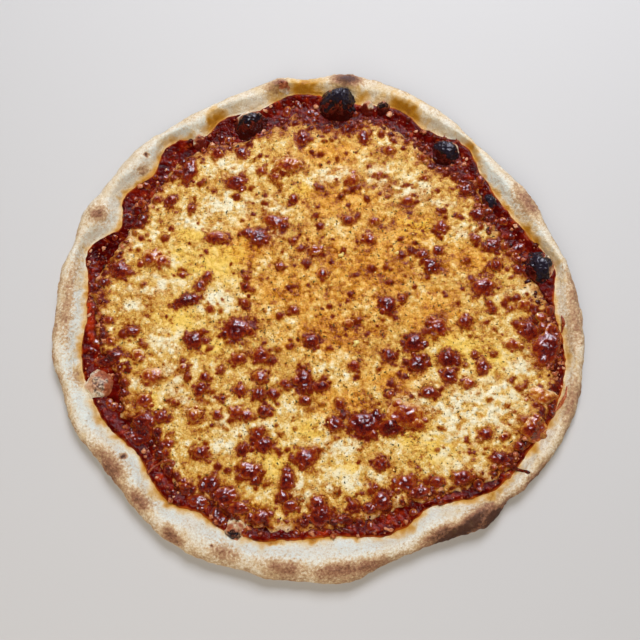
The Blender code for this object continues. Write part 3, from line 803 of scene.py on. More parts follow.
def tomato_sauce():
    """Cooked tomato: wet, dark red where it is thick or scorched, and orange-red where thin."""
    material, tree, shader, place, mark = new_material("tomato_sauce", sauce_marks)
    broad, torn, fine = (
        add(tree, "TexNoise", {"Vector": place, "Scale": 1 / (size * MM), "Detail": octaves})
        for size, octaves in ((9.0, 4.0), (4.0, 3.0), (1.3, 3.0))
    )
    swing = add(tree, "Math", {0: broad, 1: 2.2, 2: -1.1}, operation="MULTIPLY_ADD")
    level = add(tree, "Math", {0: mark["pulp"], 1: 0.35, 2: swing}, operation="MULTIPLY_ADD")
    level = add(tree, "Math", {0: mark["bright"], 1: 0.8, 2: level}, operation="MULTIPLY_ADD")
    red = shaded(tree, level, SAUCE_SHADES)
    # A film of melted cheese and oil lies on it in small torn patches.
    film = add(tree, "MapRange", {0: torn, 1: 0.58, 2: 0.68, 4: 0.45}, **SOFT_STEP)
    edge = add(tree, "Math", {0: mark["thin"], 1: swing}, operation="ADD")
    edge = add(tree, "MapRange", {0: edge, 1: 0.35, 2: 1.1})
    for amount, shade in ((film, "#A23E14"), (edge, "#A3480F")):
        red = add(tree, "Mix", {0: amount, 6: red, 7: shade}, **COLOURS)
    rough = add(tree, "MapRange", {0: fine, 1: 0.3, 2: 0.7, 3: 0.06, 4: 0.2})
    bump = add(tree, "Bump", {"Strength": 0.9, "Distance": 0.6 * MM, "Height": fine})
    plug(tree, shader, {
        "Base Color": red, "Specular IOR Level": 0.09, "Roughness": rough, "Normal": bump,
    })
    return material


sauce.data.materials.append(tomato_sauce())
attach(sauce, "root")
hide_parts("sauce")


# ==== Cheese =======================================================================
# Shredded mozzarella, melted into one crinkled sheet.  Its oil has run orange and yellow into
# the hollows, which are also painted darker as shade, curds of it stay white, and steam has
# raised it in blisters that browned, shine with oil and look almost black at their darkest.

CHEESE_THICKNESS = 3.2
LAYER_GAP = 0.35
CHEESE_EDGE_ROUNDING = 7.0
CHEESE_SUNK = 0.3
CHEESE_UNEVENNESS = 0.8
CHEESE_LUMP_SIZE = 24.0
CHEESE_SEED = 11
CHEESE_SURFACE = 9.0                # the level at which picture points are brought down to it
CHEESE_RINGS = 179
CHEESE_UNDERSIDE = 1.0              # its hidden underside lies this far above the dough's floor

Swelling = namedtuple("Swelling", "x y reach rise")
SWELLINGS = (
    Swelling(66, -80, 17, 2.6),
    Swelling(-17, 120, 13, 1.8),
    Swelling(34, 108, 10, 1.4),
    Swelling(-100, 12, 14, 1.2),
    Swelling(164, -88, 12, 4.5),
)

# Browned blisters: picture point of the middle, width and height in the picture, tilt, and tone
# from 0, orange, to 1, nearly black.
BLISTERS = (
    (192, 209, 10, 10, 0, .5), (217, 238, 25, 12, 0, .5), (260, 237, 20, 18, 0, .9),
    (248, 233, 14, 11, 0, .6), (275, 221, 26, 13, -20, .5), (284, 226, 10, 10, 0, .8),
    (294, 199, 9, 11, 0, .7), (294, 241, 7, 7, 0, .5), (280, 266, 9, 9, 0, .5), (247, 278, 8, 8, 0, .5),
    (246, 287, 10, 8, 0, .7), (246, 303, 8, 9, 0, .5), (207, 277, 11, 12, 0, .6),
    (200, 286, 9, 12, 0, .7), (187, 301, 26, 10, 20, .95), (294, 310, 9, 9, 0, .5),
    (210, 309, 8, 8, 0, .4), (408, 201, 13, 10, 0, .4), (348, 221, 12, 10, 0, .5),
    (374, 221, 11, 9, 0, .3), (369, 239, 12, 15, 0, .45), (315, 250, 14, 12, 0, .2),
    (322, 274, 10, 10, 0, .5), (388, 305, 15, 15, 0, .9), (402, 299, 8, 8, 0, .6),
    (423, 254, 12, 10, 0, .6), (431, 265, 14, 14, 0, .9), (441, 227, 12, 14, 0, .6),
    (476, 239, 9, 9, 0, .6), (493, 245, 14, 14, 0, .85), (519, 247, 13, 10, 0, .85),
    (519, 259, 9, 9, 0, .5), (496, 265, 11, 11, 0, .6), (438, 250, 9, 8, 0, .8),
    (484, 286, 24, 14, 18, .65), (490, 304, 7, 7, 0, .6), (493, 310, 9, 7, 0, .6),
    (524, 305, 14, 11, 20, .15), (511, 308, 6, 6, 0, .3), (465, 322, 12, 12, 0, .6),
    (438, 327, 19, 16, 0, .6), (528, 330, 19, 17, 0, .75), (513, 345, 15, 12, 0, .2),
    (548, 348, 24, 36, -25, .85), (108, 320, 10, 7, 0, .6), (132, 331, 15, 10, 0, .7),
    (111, 341, 10, 8, 0, .4), (108, 359, 26, 12, 20, 1.), (138, 355, 12, 10, 0, .1),
    (152, 376, 20, 16, 0, .2), (144, 400, 16, 14, 0, .4), (143, 422, 24, 17, 30, .85),
    (161, 417, 14, 12, 0, .7), (112, 406, 8, 8, 0, .6), (174, 402, 8, 8, 0, .3),
    (236, 329, 26, 20, 0, .9), (194, 340, 17, 15, 0, .9), (206, 341, 8, 8, 0, .6),
    (238, 359, 14, 12, 0, .5), (261, 355, 20, 15, 0, .6), (205, 377, 10, 10, 0, .6),
    (201, 389, 11, 18, -30, .7), (221, 370, 8, 8, 0, .5), (260, 376, 15, 13, 0, .5),
    (240, 390, 14, 12, 0, .6), (260, 394, 14, 12, 0, .7), (274, 394, 12, 11, 0, .6),
    (285, 384, 12, 11, 0, .5), (264, 411, 13, 12, 0, .7), (236, 413, 12, 12, 0, .5),
    (247, 416, 12, 11, 0, .5), (195, 415, 16, 12, 0, .2), (217, 414, 10, 9, 0, .4),
    (258, 434, 14, 12, 0, .7), (183, 367, 8, 8, 0, .1), (223, 398, 7, 7, 0, .6),
    (298, 380, 10, 10, 0, .5), (312, 341, 15, 14, 0, .85), (303, 380, 15, 22, 0, .9),
    (321, 386, 16, 10, 0, .7), (305, 400, 13, 10, 0, .6), (340, 404, 10, 9, 0, .5),
    (336, 424, 15, 13, 0, .8), (364, 424, 28, 22, 0, 1.), (390, 428, 25, 13, 0, .95),
    (406, 415, 34, 26, 0, .35), (389, 356, 13, 12, 0, .8), (355, 366, 12, 11, 0, .6),
    (390, 394, 8, 8, 0, .5), (349, 324, 10, 9, 0, .3), (414, 343, 18, 16, 0, .9),
    (417, 363, 16, 16, 0, .95), (448, 359, 18, 15, 0, .9), (449, 375, 15, 13, 0, .8),
    (482, 367, 11, 14, 0, .7), (474, 354, 7, 8, 0, .6), (469, 383, 13, 12, 0, .25),
    (431, 393, 18, 10, 0, .7), (543, 396, 30, 13, -10, 0.), (486, 434, 15, 11, 0, .65),
    (504, 437, 8, 8, 0, .3), (502, 459, 16, 10, -10, .95), (463, 478, 18, 12, 0, .75),
    (437, 482, 14, 11, 0, .7), (141, 434, 22, 16, 40, .95), (168, 443, 12, 11, 0, .5),
    (158, 454, 12, 10, 0, .9), (201, 452, 14, 12, 0, .6), (211, 483, 14, 14, 0, .9),
    (185, 489, 14, 12, 0, .6), (198, 502, 17, 12, -20, .8), (217, 514, 11, 15, 0, .9),
    (263, 445, 20, 13, 0, .8), (242, 450, 10, 12, 0, .8), (250, 471, 21, 15, 0, .75),
    (255, 481, 10, 10, 0, .8), (226, 496, 20, 17, 0, .8), (262, 518, 17, 14, 0, .75),
    (306, 458, 20, 18, 0, .7), (287, 480, 13, 19, 0, .85), (283, 497, 11, 13, 0, .8),
    (290, 506, 16, 10, -15, .6), (318, 503, 14, 12, 0, .7), (320, 515, 20, 18, 0, .85),
    (381, 464, 13, 12, 0, .7), (406, 483, 20, 16, 0, .7), (383, 501, 15, 18, 20, .85),
    (353, 506, 12, 10, 0, .7), (370, 509, 12, 9, 0, .8), (375, 486, 7, 7, 0, .4),
    (218, 154, 12, 11, 0, .5), (242, 152, 12, 12, 0, .6), (303, 139, 11, 16, 0, .75),
    (189, 172, 14, 28, -10, .8), (237, 183, 22, 14, 0, .75), (289, 166, 25, 18, 0, .2),
    (262, 172, 10, 9, 0, .5), (276, 178, 11, 10, 0, .3), (351, 127, 13, 12, 0, .8),
    (364, 138, 10, 13, 0, .8), (353, 181, 16, 15, 0, .25), (425, 178, 8, 8, 0, .3),
    (380, 175, 8, 7, 0, .3), (389, 150, 13, 9, 0, .3), (170, 200, 12, 10, 0, .7),
    (150, 258, 20, 18, 0, .3), (163, 262, 14, 12, 0, .3), (120, 270, 16, 16, 0, .8),
    (104, 282, 12, 8, 0, .8), (183, 275, 9, 8, 0, .4), (465, 190, 12, 12, 0, .8),
    (478, 215, 14, 14, 0, .8), (535, 430, 26, 22, 20, .55), (420, 492, 20, 12, 15, .8),
    (345, 520, 16, 9, -10, .8), (238, 508, 16, 12, 0, .7),
)
PIXEL_ON_CHEESE = 0.775             # size of a picture point on the cheese
UNDER_DOME = 0.35                   # share of a dome's height that the sheet itself swells

# Small blisters by chance: how many, seed, least and greatest distance from the cheese's edge,
# and the range of their half lengths and of their tones.
Chance = namedtuple("Chance", "count seed nearest farthest sizes tones")
EDGE_DOMES = Chance(220, 106, -9.0, 9.0, (1.8, 4.6), (0.4, 1.0))
INNER_PIMPLES = Chance(460, 96, 12.0, 400.0, (1.0, 3.2), (0.1, 0.75))
EDGE_PIMPLES = Chance(170, 97, 1.0, 15.0, (1.2, 3.2), (0.3, 0.95))
PIMPLES_EACH = 3                    # that crowd round a measured blister
PIMPLE_SEED = 104

HIGHEST_BLISTER = 3.0
TURN_TO_TILT = 57.3                 # degrees in a radian

# Uneven layers of the sheet, each of its height, size and seed, and the width of its stained rim.
SPOT_WANDER = ((0.4, 7.0, 81), (0.35, 3.4, 82))
BLISTER_WAVER = ((0.22, 4.5, 91), (0.16, 2.2, 92))
CURD_LUMPS = ((1.0, 4.2, 102), (0.6, 2.2, 103))
KNOB_LUMPS = ((0.6, 3.0, 93),)
KNOB_RIDGES = ((0.4, 3.0, 99),)
WARPS = (((2.4, 8.0, 83),), ((2.4, 8.0, 84),))      # sideways shift of the crinkles, in x and in y
CRINKLES = ((0.45, 5.0, 85), (0.5, 3.0, 86))
FINE_CRINKLES = ((0.4, 2.1, 87),)
MOUNDS = ((0.5, 10.0, 88),)
CURDLE_SIZE = 4.6
CURDLE_SEED = 105
RIM_WIDTH = 15.0
RIM_WIDTH_LUMPS = ((6.0, 15.0, 98),)
RIM_BROWNING = ((0.25, 6.0, 90),)
MELT_LUMPS = ((0.13, 5.0, 100), (0.11, 13.0, 101))

# Where the cheese is paler, yellower or more orange: picture point, half width, half height.
CURDS = (
    (230, 167, 22, 10), (232, 205, 22, 12), (277, 204, 14, 8), (188, 398, 24, 10), (248, 430, 16, 8),
    (455, 405, 42, 20), (500, 395, 26, 14), (452, 442, 26, 12), (330, 430, 12, 7), (165, 263, 18, 6),
    (150, 285, 22, 10), (165, 340, 18, 12), (170, 375, 20, 10), (520, 294, 14, 5), (470, 232, 14, 7),
    (389, 146, 8, 5), (380, 175, 18, 12), (410, 190, 20, 9), (335, 175, 18, 10), (205, 222, 24, 9),
    (182, 407, 10, 6), (222, 424, 14, 7), (218, 448, 12, 7), (285, 213, 10, 5), (440, 205, 14, 6),
    (300, 490, 12, 12), (350, 480, 24, 12), (520, 365, 20, 10), (272, 233, 12, 5), (130, 305, 14, 6),
    (500, 420, 20, 16), (330, 445, 22, 8), (145, 385, 12, 8), (465, 465, 18, 8), (215, 300, 20, 12),
)
YELLOWS = (
    (218, 265, 22, 20), (275, 462, 14, 14), (440, 455, 22, 10), (458, 347, 26, 12), (182, 262, 16, 16),
    (178, 320, 20, 18), (205, 345, 14, 12), (490, 360, 20, 12), (195, 235, 16, 8), (420, 440, 18, 10),
    (345, 470, 14, 8), (300, 190, 10, 8), (150, 400, 8, 10), (310, 430, 20, 8), (420, 230, 18, 10),
)
ORANGES = (
    (365, 270, 62, 44), (330, 330, 44, 26), (410, 240, 34, 30), (290, 290, 36, 30), (340, 200, 40, 20),
    (430, 310, 34, 24), (390, 380, 26, 16), (330, 155, 30, 14), (470, 260, 26, 18), (250, 250, 22, 22),
    (235, 510, 20, 10), (345, 400, 26, 14),
)


def even_disc(rings):
    """Points and triangles of a disc whose ring k has 6k points, as (share, angle) pairs.

    In each sixth of a ring, k triangles stand on its points and k - 1 hang from the ring before.
    """
    share, angle, faces = [np.zeros(1)], [np.zeros(1)], []
    first = 1
    for k in range(1, rings + 1):
        step = np.arange(6 * k)
        share.append(np.full(6 * k, k / rings))
        angle.append(step * 60.0 / k)
        inner_first = first - 6 * (k - 1) if k > 1 else 0
        inner_count = max(6 * (k - 1), 1)
        sixth, i = step // k, step % k
        a = inner_first + (sixth * (k - 1) + i) % inner_count
        faces.append(np.stack((a, first + step, first + (step + 1) % (6 * k)), axis=-1))
        hanging = i < k - 1
        d = inner_first + (sixth * (k - 1) + i + 1) % inner_count
        faces.append(np.stack((a, first + (step + 1) % (6 * k), d), axis=-1)[hanging])
        first += 6 * k
    return np.concatenate(share), np.concatenate(angle), np.concatenate(faces)


def spots(x, y, table, softness):
    """1 inside the ellipses of a table of picture points, with soft uneven edges."""
    most = np.zeros(x.shape)
    wander = layered(SPOT_WANDER, x, y)
    for px, py, wide, high in table:
        cx, cy = from_photo(px, py, CHEESE_SURFACE)
        distance = np.hypot((x - cx) / (wide * PIXEL_ON_CHEESE), (y - cy) / (high * PIXEL_ON_CHEESE))
        most = np.maximum(most, 1.0 - eased(distance + wander, 1.0 - softness, 1.0 + softness))
    return most


def measured_blisters():
    """The large blisters, brought down from their picture points to the cheese."""
    table = np.array(BLISTERS, float)
    x, y = from_photo(table[:, 0], table[:, 1], CHEESE_SURFACE)
    long = 0.5 * PIXEL_ON_CHEESE * table[:, 2]
    wide = 0.5 * PIXEL_ON_CHEESE * table[:, 3]
    return np.stack((x, y, long, wide, table[:, 4], table[:, 5]), axis=-1)


def chance_blisters(count, seed, nearest, farthest, sizes, tones):
    """Small blisters by chance, between two distances from the cheese's edge."""
    random = np.random.default_rng(seed).uniform(0.0, 1.0, (6, count))
    angles = 360.0 * random[0]
    edge = cheese_edge(angles)
    inner_share = np.clip(1.0 - farthest / edge, 0.0, 1.0) ** 2
    outer_share = (1.0 - nearest / edge) ** 2
    radius = edge * np.sqrt(inner_share + (outer_share - inner_share) * random[1])
    long = sizes[0] + (sizes[1] - sizes[0]) * random[2] ** 2
    wide = long * (0.6 + 0.4 * random[3])
    tone = tones[0] + (tones[1] - tones[0]) * random[4]
    return np.stack((*place_at(radius, angles), long, wide, 360.0 * random[5], tone), axis=-1)


def satellites(blisters, each, seed):
    """Smaller blisters that crowd round the edge of larger ones."""
    parent = np.repeat(blisters, each, axis=0)
    random = np.random.default_rng(seed).uniform(0.0, 1.0, (5, len(parent)))
    turn = 2.0 * np.pi * random[0]
    out = 0.75 + 0.5 * random[1]
    size = (0.22 + 0.3 * random[2]) * np.minimum(parent[:, 2], parent[:, 3]) + 0.4
    x = parent[:, 0] + out * parent[:, 2] * np.cos(turn)
    y = parent[:, 1] + out * parent[:, 3] * np.sin(turn)
    tone = parent[:, 5] * (0.5 + 0.5 * random[3])
    return np.stack((x, y, size, size * (0.7 + 0.3 * random[4]), TURN_TO_TILT * turn, tone), axis=-1)


def off_the_rim(blisters):
    """Those of a set of blisters that keep clear of the bare rim."""
    radius, angles = polar(blisters[:, 0], blisters[:, 1])
    return blisters[sauce_edge(angles) - radius > 0.8 * blisters[:, 2]]


# The domes are a piece of their own, which stands on low swellings of the sheet.
large_domes = measured_blisters()
small_domes = off_the_rim(chance_blisters(*EDGE_DOMES))
domes = np.concatenate((large_domes, small_domes))
pimples = np.concatenate((
    off_the_rim(satellites(large_domes, PIMPLES_EACH, PIMPLE_SEED)),
    chance_blisters(*INNER_PIMPLES),
    chance_blisters(*EDGE_PIMPLES),
))
all_blisters = np.concatenate((
    np.insert(domes, 6, UNDER_DOME, axis=1),
    np.insert(pimples, 6, 1.0, axis=1),
))


def blister_waver(x, y):
    """How much nearer to its middle than an ellipse a blister's outline lies at a place."""
    return layered(BLISTER_WAVER, x, y)


def blister_rise(long, wide):
    """Height of a blister: in proportion to its smaller half width, up to a greatest height."""
    return np.minimum(0.55 * np.minimum(long, wide) + 0.5, HIGHEST_BLISTER)


def blistered(x, y):
    """Height of the blisters, and how far each place has browned on and round them.

    Each is a half ellipsoid with a wavering outline and knobs on it; where two meet, the higher
    one counts.  The lighter ones are painted paler on the side towards the light, as painted light.
    """
    height, heat = np.zeros(x.shape), np.zeros(x.shape)
    waver = blister_waver(x, y)
    knobs = layered(KNOB_LUMPS, x, y) + layered(KNOB_RIDGES, x, y, kind=ridged)
    for cx, cy, long, wide, tilt, tone, share in all_blisters:
        reach = 2.4 * long + 1.0
        near = (np.abs(x - cx) < reach) & (np.abs(y - cy) < reach)
        dx, dy = x[near] - cx, y[near] - cy
        cos, sin = np.cos(np.radians(tilt)), np.sin(np.radians(tilt))
        away = np.hypot((dx * cos + dy * sin) / long, (dy * cos - dx * sin) / wide)
        away = away * (1.0 + waver[near])
        dome = np.clip(1.0 - (away / 1.15) ** 2, 0.0, 1.0) ** 0.7
        rise = share * blister_rise(long, wide)
        height[near] = np.maximum(height[near], rise * dome * (0.85 + 0.22 * knobs[near]))
        # Painted light: the lighter blisters are paler on their far side, which faces the light.
        lit_side_paler = (1.0 - tone) * 0.3 * eased(dy / long, -0.2, 0.8)
        browning = 0.40 + 0.26 * tone - lit_side_paler - 0.06 * knobs[near]
        heat[near] = np.maximum(heat[near], browning * (1.0 - eased(away, 0.7, 2.1)) ** 1.3)
    return height, heat


def cheese_surface(x, y):
    """Top of the cheese and the marks of its finish.

    The sheet's own height is that of the solid: the dough's floor, the sauce, and a thickness
    that swells and rounds down at the edge.  Crinkles, curds and blisters stand on it.
    """
    radius, angles = polar(x, y)
    from_edge = cheese_edge(angles) - radius
    inside = np.clip(from_edge / CHEESE_EDGE_ROUNDING, 0.0, 1.0)
    rounding = (1.0 - (1.0 - inside) ** 2) ** 1.2
    rise = CHEESE_THICKNESS + LAYER_GAP + CHEESE_SUNK
    rise = rise + CHEESE_UNEVENNESS * lumps(x, y, CHEESE_LUMP_SIZE, CHEESE_SEED)
    for swelling in SWELLINGS:
        distance = np.hypot(x - swelling.x, y - swelling.y) / swelling.reach
        rise = rise + swelling.rise * np.exp(-distance ** 2)
    curd = spots(x, y, CURDS, 0.7) * eased(layered(CURD_LUMPS, x, y), -0.5, 0.35)
    yellow = spots(x, y, YELLOWS, 0.7)
    orange = spots(x, y, ORANGES, 0.8)
    warp_x, warp_y = (at + layered(warp, x, y) for at, warp in zip((x, y), WARPS))
    crinkle = layered(CRINKLES, warp_x, warp_y, kind=ridged) + layered(FINE_CRINKLES, x, y)
    curdle = curdled(warp_x, warp_y, CURDLE_SIZE, CURDLE_SEED)
    mounds = layered(MOUNDS, x, y) + 1.1 * curdle
    rim = 1.0 - eased(from_edge, 1.0, RIM_WIDTH + layered(RIM_WIDTH_LUMPS, x, y))
    high, heat = blistered(x, y)
    melted = 0.27 + 0.10 * orange - 0.12 * curd - 0.05 * yellow * (1.0 - rim)
    # The oven's mouth was in front, so the near edge browned less.
    cooler = eased(-y / (radius + 1.0), 0.2, 0.9)
    melted = melted + rim * (0.16 - 0.14 * cooler + layered(RIM_BROWNING, x, y))
    # Hollows between crinkles and curds are browner: partly oil standing in them, and partly painted
    # shade.
    melted = melted - 0.05 * crinkle - 0.12 * (curdle - 0.4) + layered(MELT_LUMPS, x, y)
    smooth = eased(high, 0.2, 1.1)
    heat = melted + (1.0 - np.clip(melted, 0.0, 1.0)) * heat
    top = sauce_top(radius, angles) - CHEESE_SUNK + (rise + mounds + 0.5 * curd) * rounding
    top = top + (0.5 * crinkle * (1.0 - 0.7 * smooth) + 1.15 * high) * eased(rounding, 0.3, 0.9)
    return top, {
        "browning": heat, "curd": curd, "yellow": yellow, "orange": orange, "rim": rim, "smooth": smooth,
    }


disc_share, disc_angle, disc_faces = even_disc(CHEESE_RINGS)
cheese_x, cheese_y = place_at(disc_share * cheese_edge(disc_angle), disc_angle)
cheese_z, cheese_marks = cheese_surface(cheese_x, cheese_y)
cheese_points = np.stack((cheese_x, cheese_y, cheese_z), axis=-1)
# The underside is a flat cone from the edge to a point under the middle, hidden in the sauce.
edge_count = 6 * CHEESE_RINGS
edge_first = len(cheese_points) - edge_count
edge_here = edge_first + np.arange(edge_count)
edge_next = edge_first + (np.arange(edge_count) + 1) % edge_count
under_point = np.full(edge_count, len(cheese_points))
under_faces = np.stack((under_point, edge_next, edge_here), axis=-1)
cheese_points = np.concatenate((cheese_points, [(0.0, 0.0, BASE_THICKNESS + CHEESE_UNDERSIDE)]))
cheese_faces = np.concatenate((disc_faces, under_faces))
cheese = put_mesh("cheese_sheet", cheese_points, cheese_faces.tolist(), {
    name: np.append(mark, 0.0) for name, mark in cheese_marks.items()
})


CHEESE_BROWNING = (
    (-0.1, "#F8F0D2"), (0.08, "#EED8A4"), (0.22, "#DEB660"), (0.36, "#C99138"), (0.50, "#A5621A"),
    (0.62, "#7C2606"), (0.76, "#601507"), (1.00, "#380909"),
)
OILED_BROWNING = (
    (-0.1, "#F6D694"), (0.08, "#ECB858"), (0.22, "#E0A034"), (0.36, "#CC821C"), (0.50, "#A05608"),
    (0.62, "#782404"), (0.76, "#581306"),
)
SAUCED_BROWNING = ((0.1, "#DDA07A"), (0.4, "#9A3A12"), (0.75, "#4A0C08"))


def browned_cheese():
    """Melted mozzarella: a fatty gloss, cream on its ridges, golden to orange where oil stands
    in the hollows, which with the gaps between its clots are also painted darker as shade, and
    deep red-brown on the blisters, where the oil shines most.
    """
    material, tree, shader, place, mark = new_material("browned_cheese", cheese_marks)
    mid, fine, pitted, calm = (
        add(tree, "TexNoise", {"Vector": place, "Scale": 1 / (size * MM), "Detail": octaves})
        for size, octaves in ((3.4, 3.0), (1.1, 3.0), (1.6, 1.0), (14.0, 2.0))
    )
    level = add(tree, "Math", {0: mid, 1: 0.55, 2: -0.275}, operation="MULTIPLY_ADD")
    level = add(tree, "Math", {0: fine, 1: 0.6, 2: level}, operation="MULTIPLY_ADD")
    level = add(tree, "Math", {0: level, 1: 0.3}, operation="SUBTRACT")
    # The shreds clotted into packed granules, each of its own tone; the gaps between them are
    # painted darker, as shade.
    bent = add(tree, "TexNoise", {"Vector": place, "Scale": 1 / (5 * MM)}, "Color")
    bend = (3 * MM, 3 * MM, 3 * MM)
    bent = add(tree, "VectorMath", {0: bent, 1: bend, 2: place}, operation="MULTIPLY_ADD")
    clot = {"Vector": bent, "Scale": 1 / (3.3 * MM)}
    packed = add(tree, "TexVoronoi", clot, "Distance")
    own = add(tree, "TexVoronoi", clot, "Color")
    own = add(tree, "SeparateXYZ", {0: own}, "X")
    clots_and_gap_shade = add(tree, "Math", {0: own, 1: 0.65, 2: -0.54}, operation="MULTIPLY_ADD")
    clots_and_gap_shade = add(tree, "Math", {0: packed, 1: 0.5, 2: clots_and_gap_shade}, operation="MULTIPLY_ADD")
    calm = add(tree, "MapRange", {0: calm, 1: 0.35, 2: 0.65, 3: 0.12, 4: 0.34})
    level = add(tree, "Math", {0: clots_and_gap_shade, 1: calm, 2: level}, operation="MULTIPLY_ADD")
    crusted = add(tree, "MapRange", {0: mark["smooth"], 3: 1.0, 4: 0.5})
    level = add(tree, "Math", {0: level, 1: crusted, 2: mark["browning"]}, operation="MULTIPLY_ADD")
    fresh = add(tree, "MapRange", {0: level, 1: 0.12, 2: 0.48, 3: 0.78, 4: 0.0})
    stained, golden, white, rim = (
        add(tree, "Math", {0: mark[name], 1: share}, operation="MULTIPLY")
        for name, share in (("orange", 0.85), ("yellow", fresh), ("curd", fresh), ("rim", 0.45))
    )
    shaded_pits = add(tree, "MapRange", {0: pitted, 1: 0.64, 2: 0.74, 4: 0.75})
    shaded_pits = add(tree, "Math", {0: shaded_pits, 1: crusted}, operation="MULTIPLY")
    # The sauce's red oil has stained the middle orange.  Clear yellow oil stands where the sheet
    # melted smooth, and only curds stay white.  Pin holes that the steam left are painted dark
    # inside, as shade.  Sauce has coloured the thin rim pink where it is pale and deep red where it
    # browned.
    colour = shaded(tree, level, CHEESE_BROWNING)
    for amount, shade in (
        (stained, shaded(tree, level, OILED_BROWNING)),
        (golden, "#EDC03C"),
        (white, "#EEE4C0"),
        (shaded_pits, "#4E2606"),
        (rim, shaded(tree, level, SAUCED_BROWNING)),
    ):
        colour = add(tree, "Mix", {0: amount, 6: colour, 7: shade}, **COLOURS)
    oily = add(tree, "MapRange", {0: level, 1: 0.1, 2: 0.6, 3: 0.36, 4: 0.2})
    rough = add(tree, "MapRange", {0: fine, 1: 0.3, 2: 0.7, 3: -0.06, 4: 0.1})
    rough = add(tree, "Math", {0: oily, 1: rough}, operation="ADD")
    skin = add(tree, "Math", {0: mid, 1: fine}, operation="ADD")
    skin = add(tree, "Math", {0: skin, 1: shaded_pits}, operation="SUBTRACT")
    skin = add(tree, "Math", {0: packed, 1: -1.2, 2: skin}, operation="MULTIPLY_ADD")
    bump = add(tree, "Bump", {"Strength": crusted, "Distance": 0.8 * MM, "Height": skin})
    plug(tree, shader, {
        "Base Color": colour, "Specular IOR Level": 0.2, "Roughness": rough, "Normal": bump,
    })
    return material


cheese.data.materials.append(browned_cheese())
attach(cheese, "root")
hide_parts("cheese")


# ==== Blister domes =================================================================
# Steam lifts the melted sheet in thin-walled domes, which brown first and hardest.  Their skin
# is taut, knobbly and wet with oil, so each shows the window as bright glints near its top.

DOME_OUTLINE = 1.10                 # in half widths of the blister
DOME_SUNK = 0.5                     # its edge ends this far below the sheet's surface
DOME_DEPTH = 1.4                    # its hidden underside lies this far below its edge
LARGE_DOME_GRID = (10, 28)          # rings, and points on each
SMALL_DOME_GRID = (6, 16)
CROWDING_DOME_GRID = (4, 12)
CROWDED_FROM = 4.4                  # domes wider than this have smaller ones round their edge
CROWDING_EACH = 3
CROWDING_SEED = 110
DOME_WAVER = ((0.16, 0.9, 107),)    # of its outline, on a circle of radius 1
DOME_APART = 2.3                    # between two domes' circles, so that no outline repeats
DOME_KNOBS = (1.2, 2.7, 108)
DOME_GRIT = ((0.3, 1.4, 109),)
LIT_SIDE_LUMPS = ((0.5, 2.6, 111),)


def topping_height(x, y):
    """Height of whatever lies on top: the cheese, the sauce past its edge, or the bare rim."""
    radius, angles = polar(x, y)
    on_cheese, _ = cheese_surface(x, y)
    on_sauce, _ = sauce_surface(x, y)
    on_sauce = np.where(radius < sauce_edge(angles), on_sauce, dough_top(radius, angles))
    return np.where(radius < cheese_edge(angles), np.maximum(on_cheese, on_sauce), on_sauce)


def dome_mesh(blisters, rows, columns):
    """Domes over wavering ellipses, all at once: arrays of blister, ring and meridian.

    Height over the sheet is the rise times a power of one minus the squared share of the
    width, with packed knobs on it, less what is sunk at the edge.
    """
    count = len(blisters)
    cx, cy, long, wide, tilt, tone = (column[:, None, None] for column in blisters.T)
    share = np.linspace(0.8 / rows, 1.0, rows)[None, :, None]
    turn = (2.0 * np.pi * np.arange(columns) / columns)[None, None, :]
    cos, sin = np.cos(np.radians(tilt)), np.sin(np.radians(tilt))
    ray_x = long * np.cos(turn) * cos - wide * np.sin(turn) * sin
    ray_y = long * np.cos(turn) * sin + wide * np.sin(turn) * cos
    number = np.arange(count)[:, None, None] * DOME_APART
    circle = np.stack(np.broadcast_arrays(np.cos(turn), np.sin(turn), number), axis=-1)
    lobes = 1.0 + layered(DOME_WAVER, circle, kind=grain)
    reach = DOME_OUTLINE * lobes / (1.0 + 0.6 * blister_waver(cx + 0.9 * ray_x, cy + 0.9 * ray_y))
    x = cx + share * reach * ray_x
    y = cy + share * reach * ray_y
    height, size, seed = DOME_KNOBS
    knobs = height * (curdled(x, y, size, seed) - 0.35) + layered(DOME_GRIT, x, y)
    knobs = knobs * (1.0 + 0.6 * eased(np.minimum(long, wide), 4.5, 8.0))
    dome = (1.0 - share ** 2) ** 0.7 + 0.0 * x
    rise = 0.8 * blister_rise(long, wide)
    relief = rise * dome + 0.42 * knobs * eased(dome, 0.0, 0.5) - DOME_SUNK * share ** 4
    z = topping_height(x, y) + relief
    grid = np.stack((x, y, z), axis=-1)
    top = grid[:, 0].mean(axis=1, keepdims=True)
    bottom = grid[:, -1].mean(axis=1, keepdims=True) - (0.0, 0.0, DOME_DEPTH)
    points = np.concatenate((grid.reshape(count, -1, 3), top, bottom), axis=1)
    # Painted light: the lighter domes are paler on their far side, which faces the light.
    lit_side_paler = (1.0 - tone) * 0.42 * eased((y - cy) / long + layered(LIT_SIDE_LUMPS, x, y), -0.3, 0.8)
    browned = 0.34 + 0.38 * tone - lit_side_paler + 0.5 * (dome - 0.72) - 0.12 * knobs
    ends = np.stack((browned[:, 0].mean(axis=-1), browned[:, -1].mean(axis=-1)), axis=-1)
    browned = np.concatenate((browned.reshape(count, -1), ends), axis=-1)
    _, faces = closed_grid(grid[0], top[0, 0], bottom[0, 0])
    start = (np.arange(count) * points.shape[1])[:, None, None]
    return points.reshape(-1, 3), (faces[None] + start).reshape(-1, 3), browned.ravel()


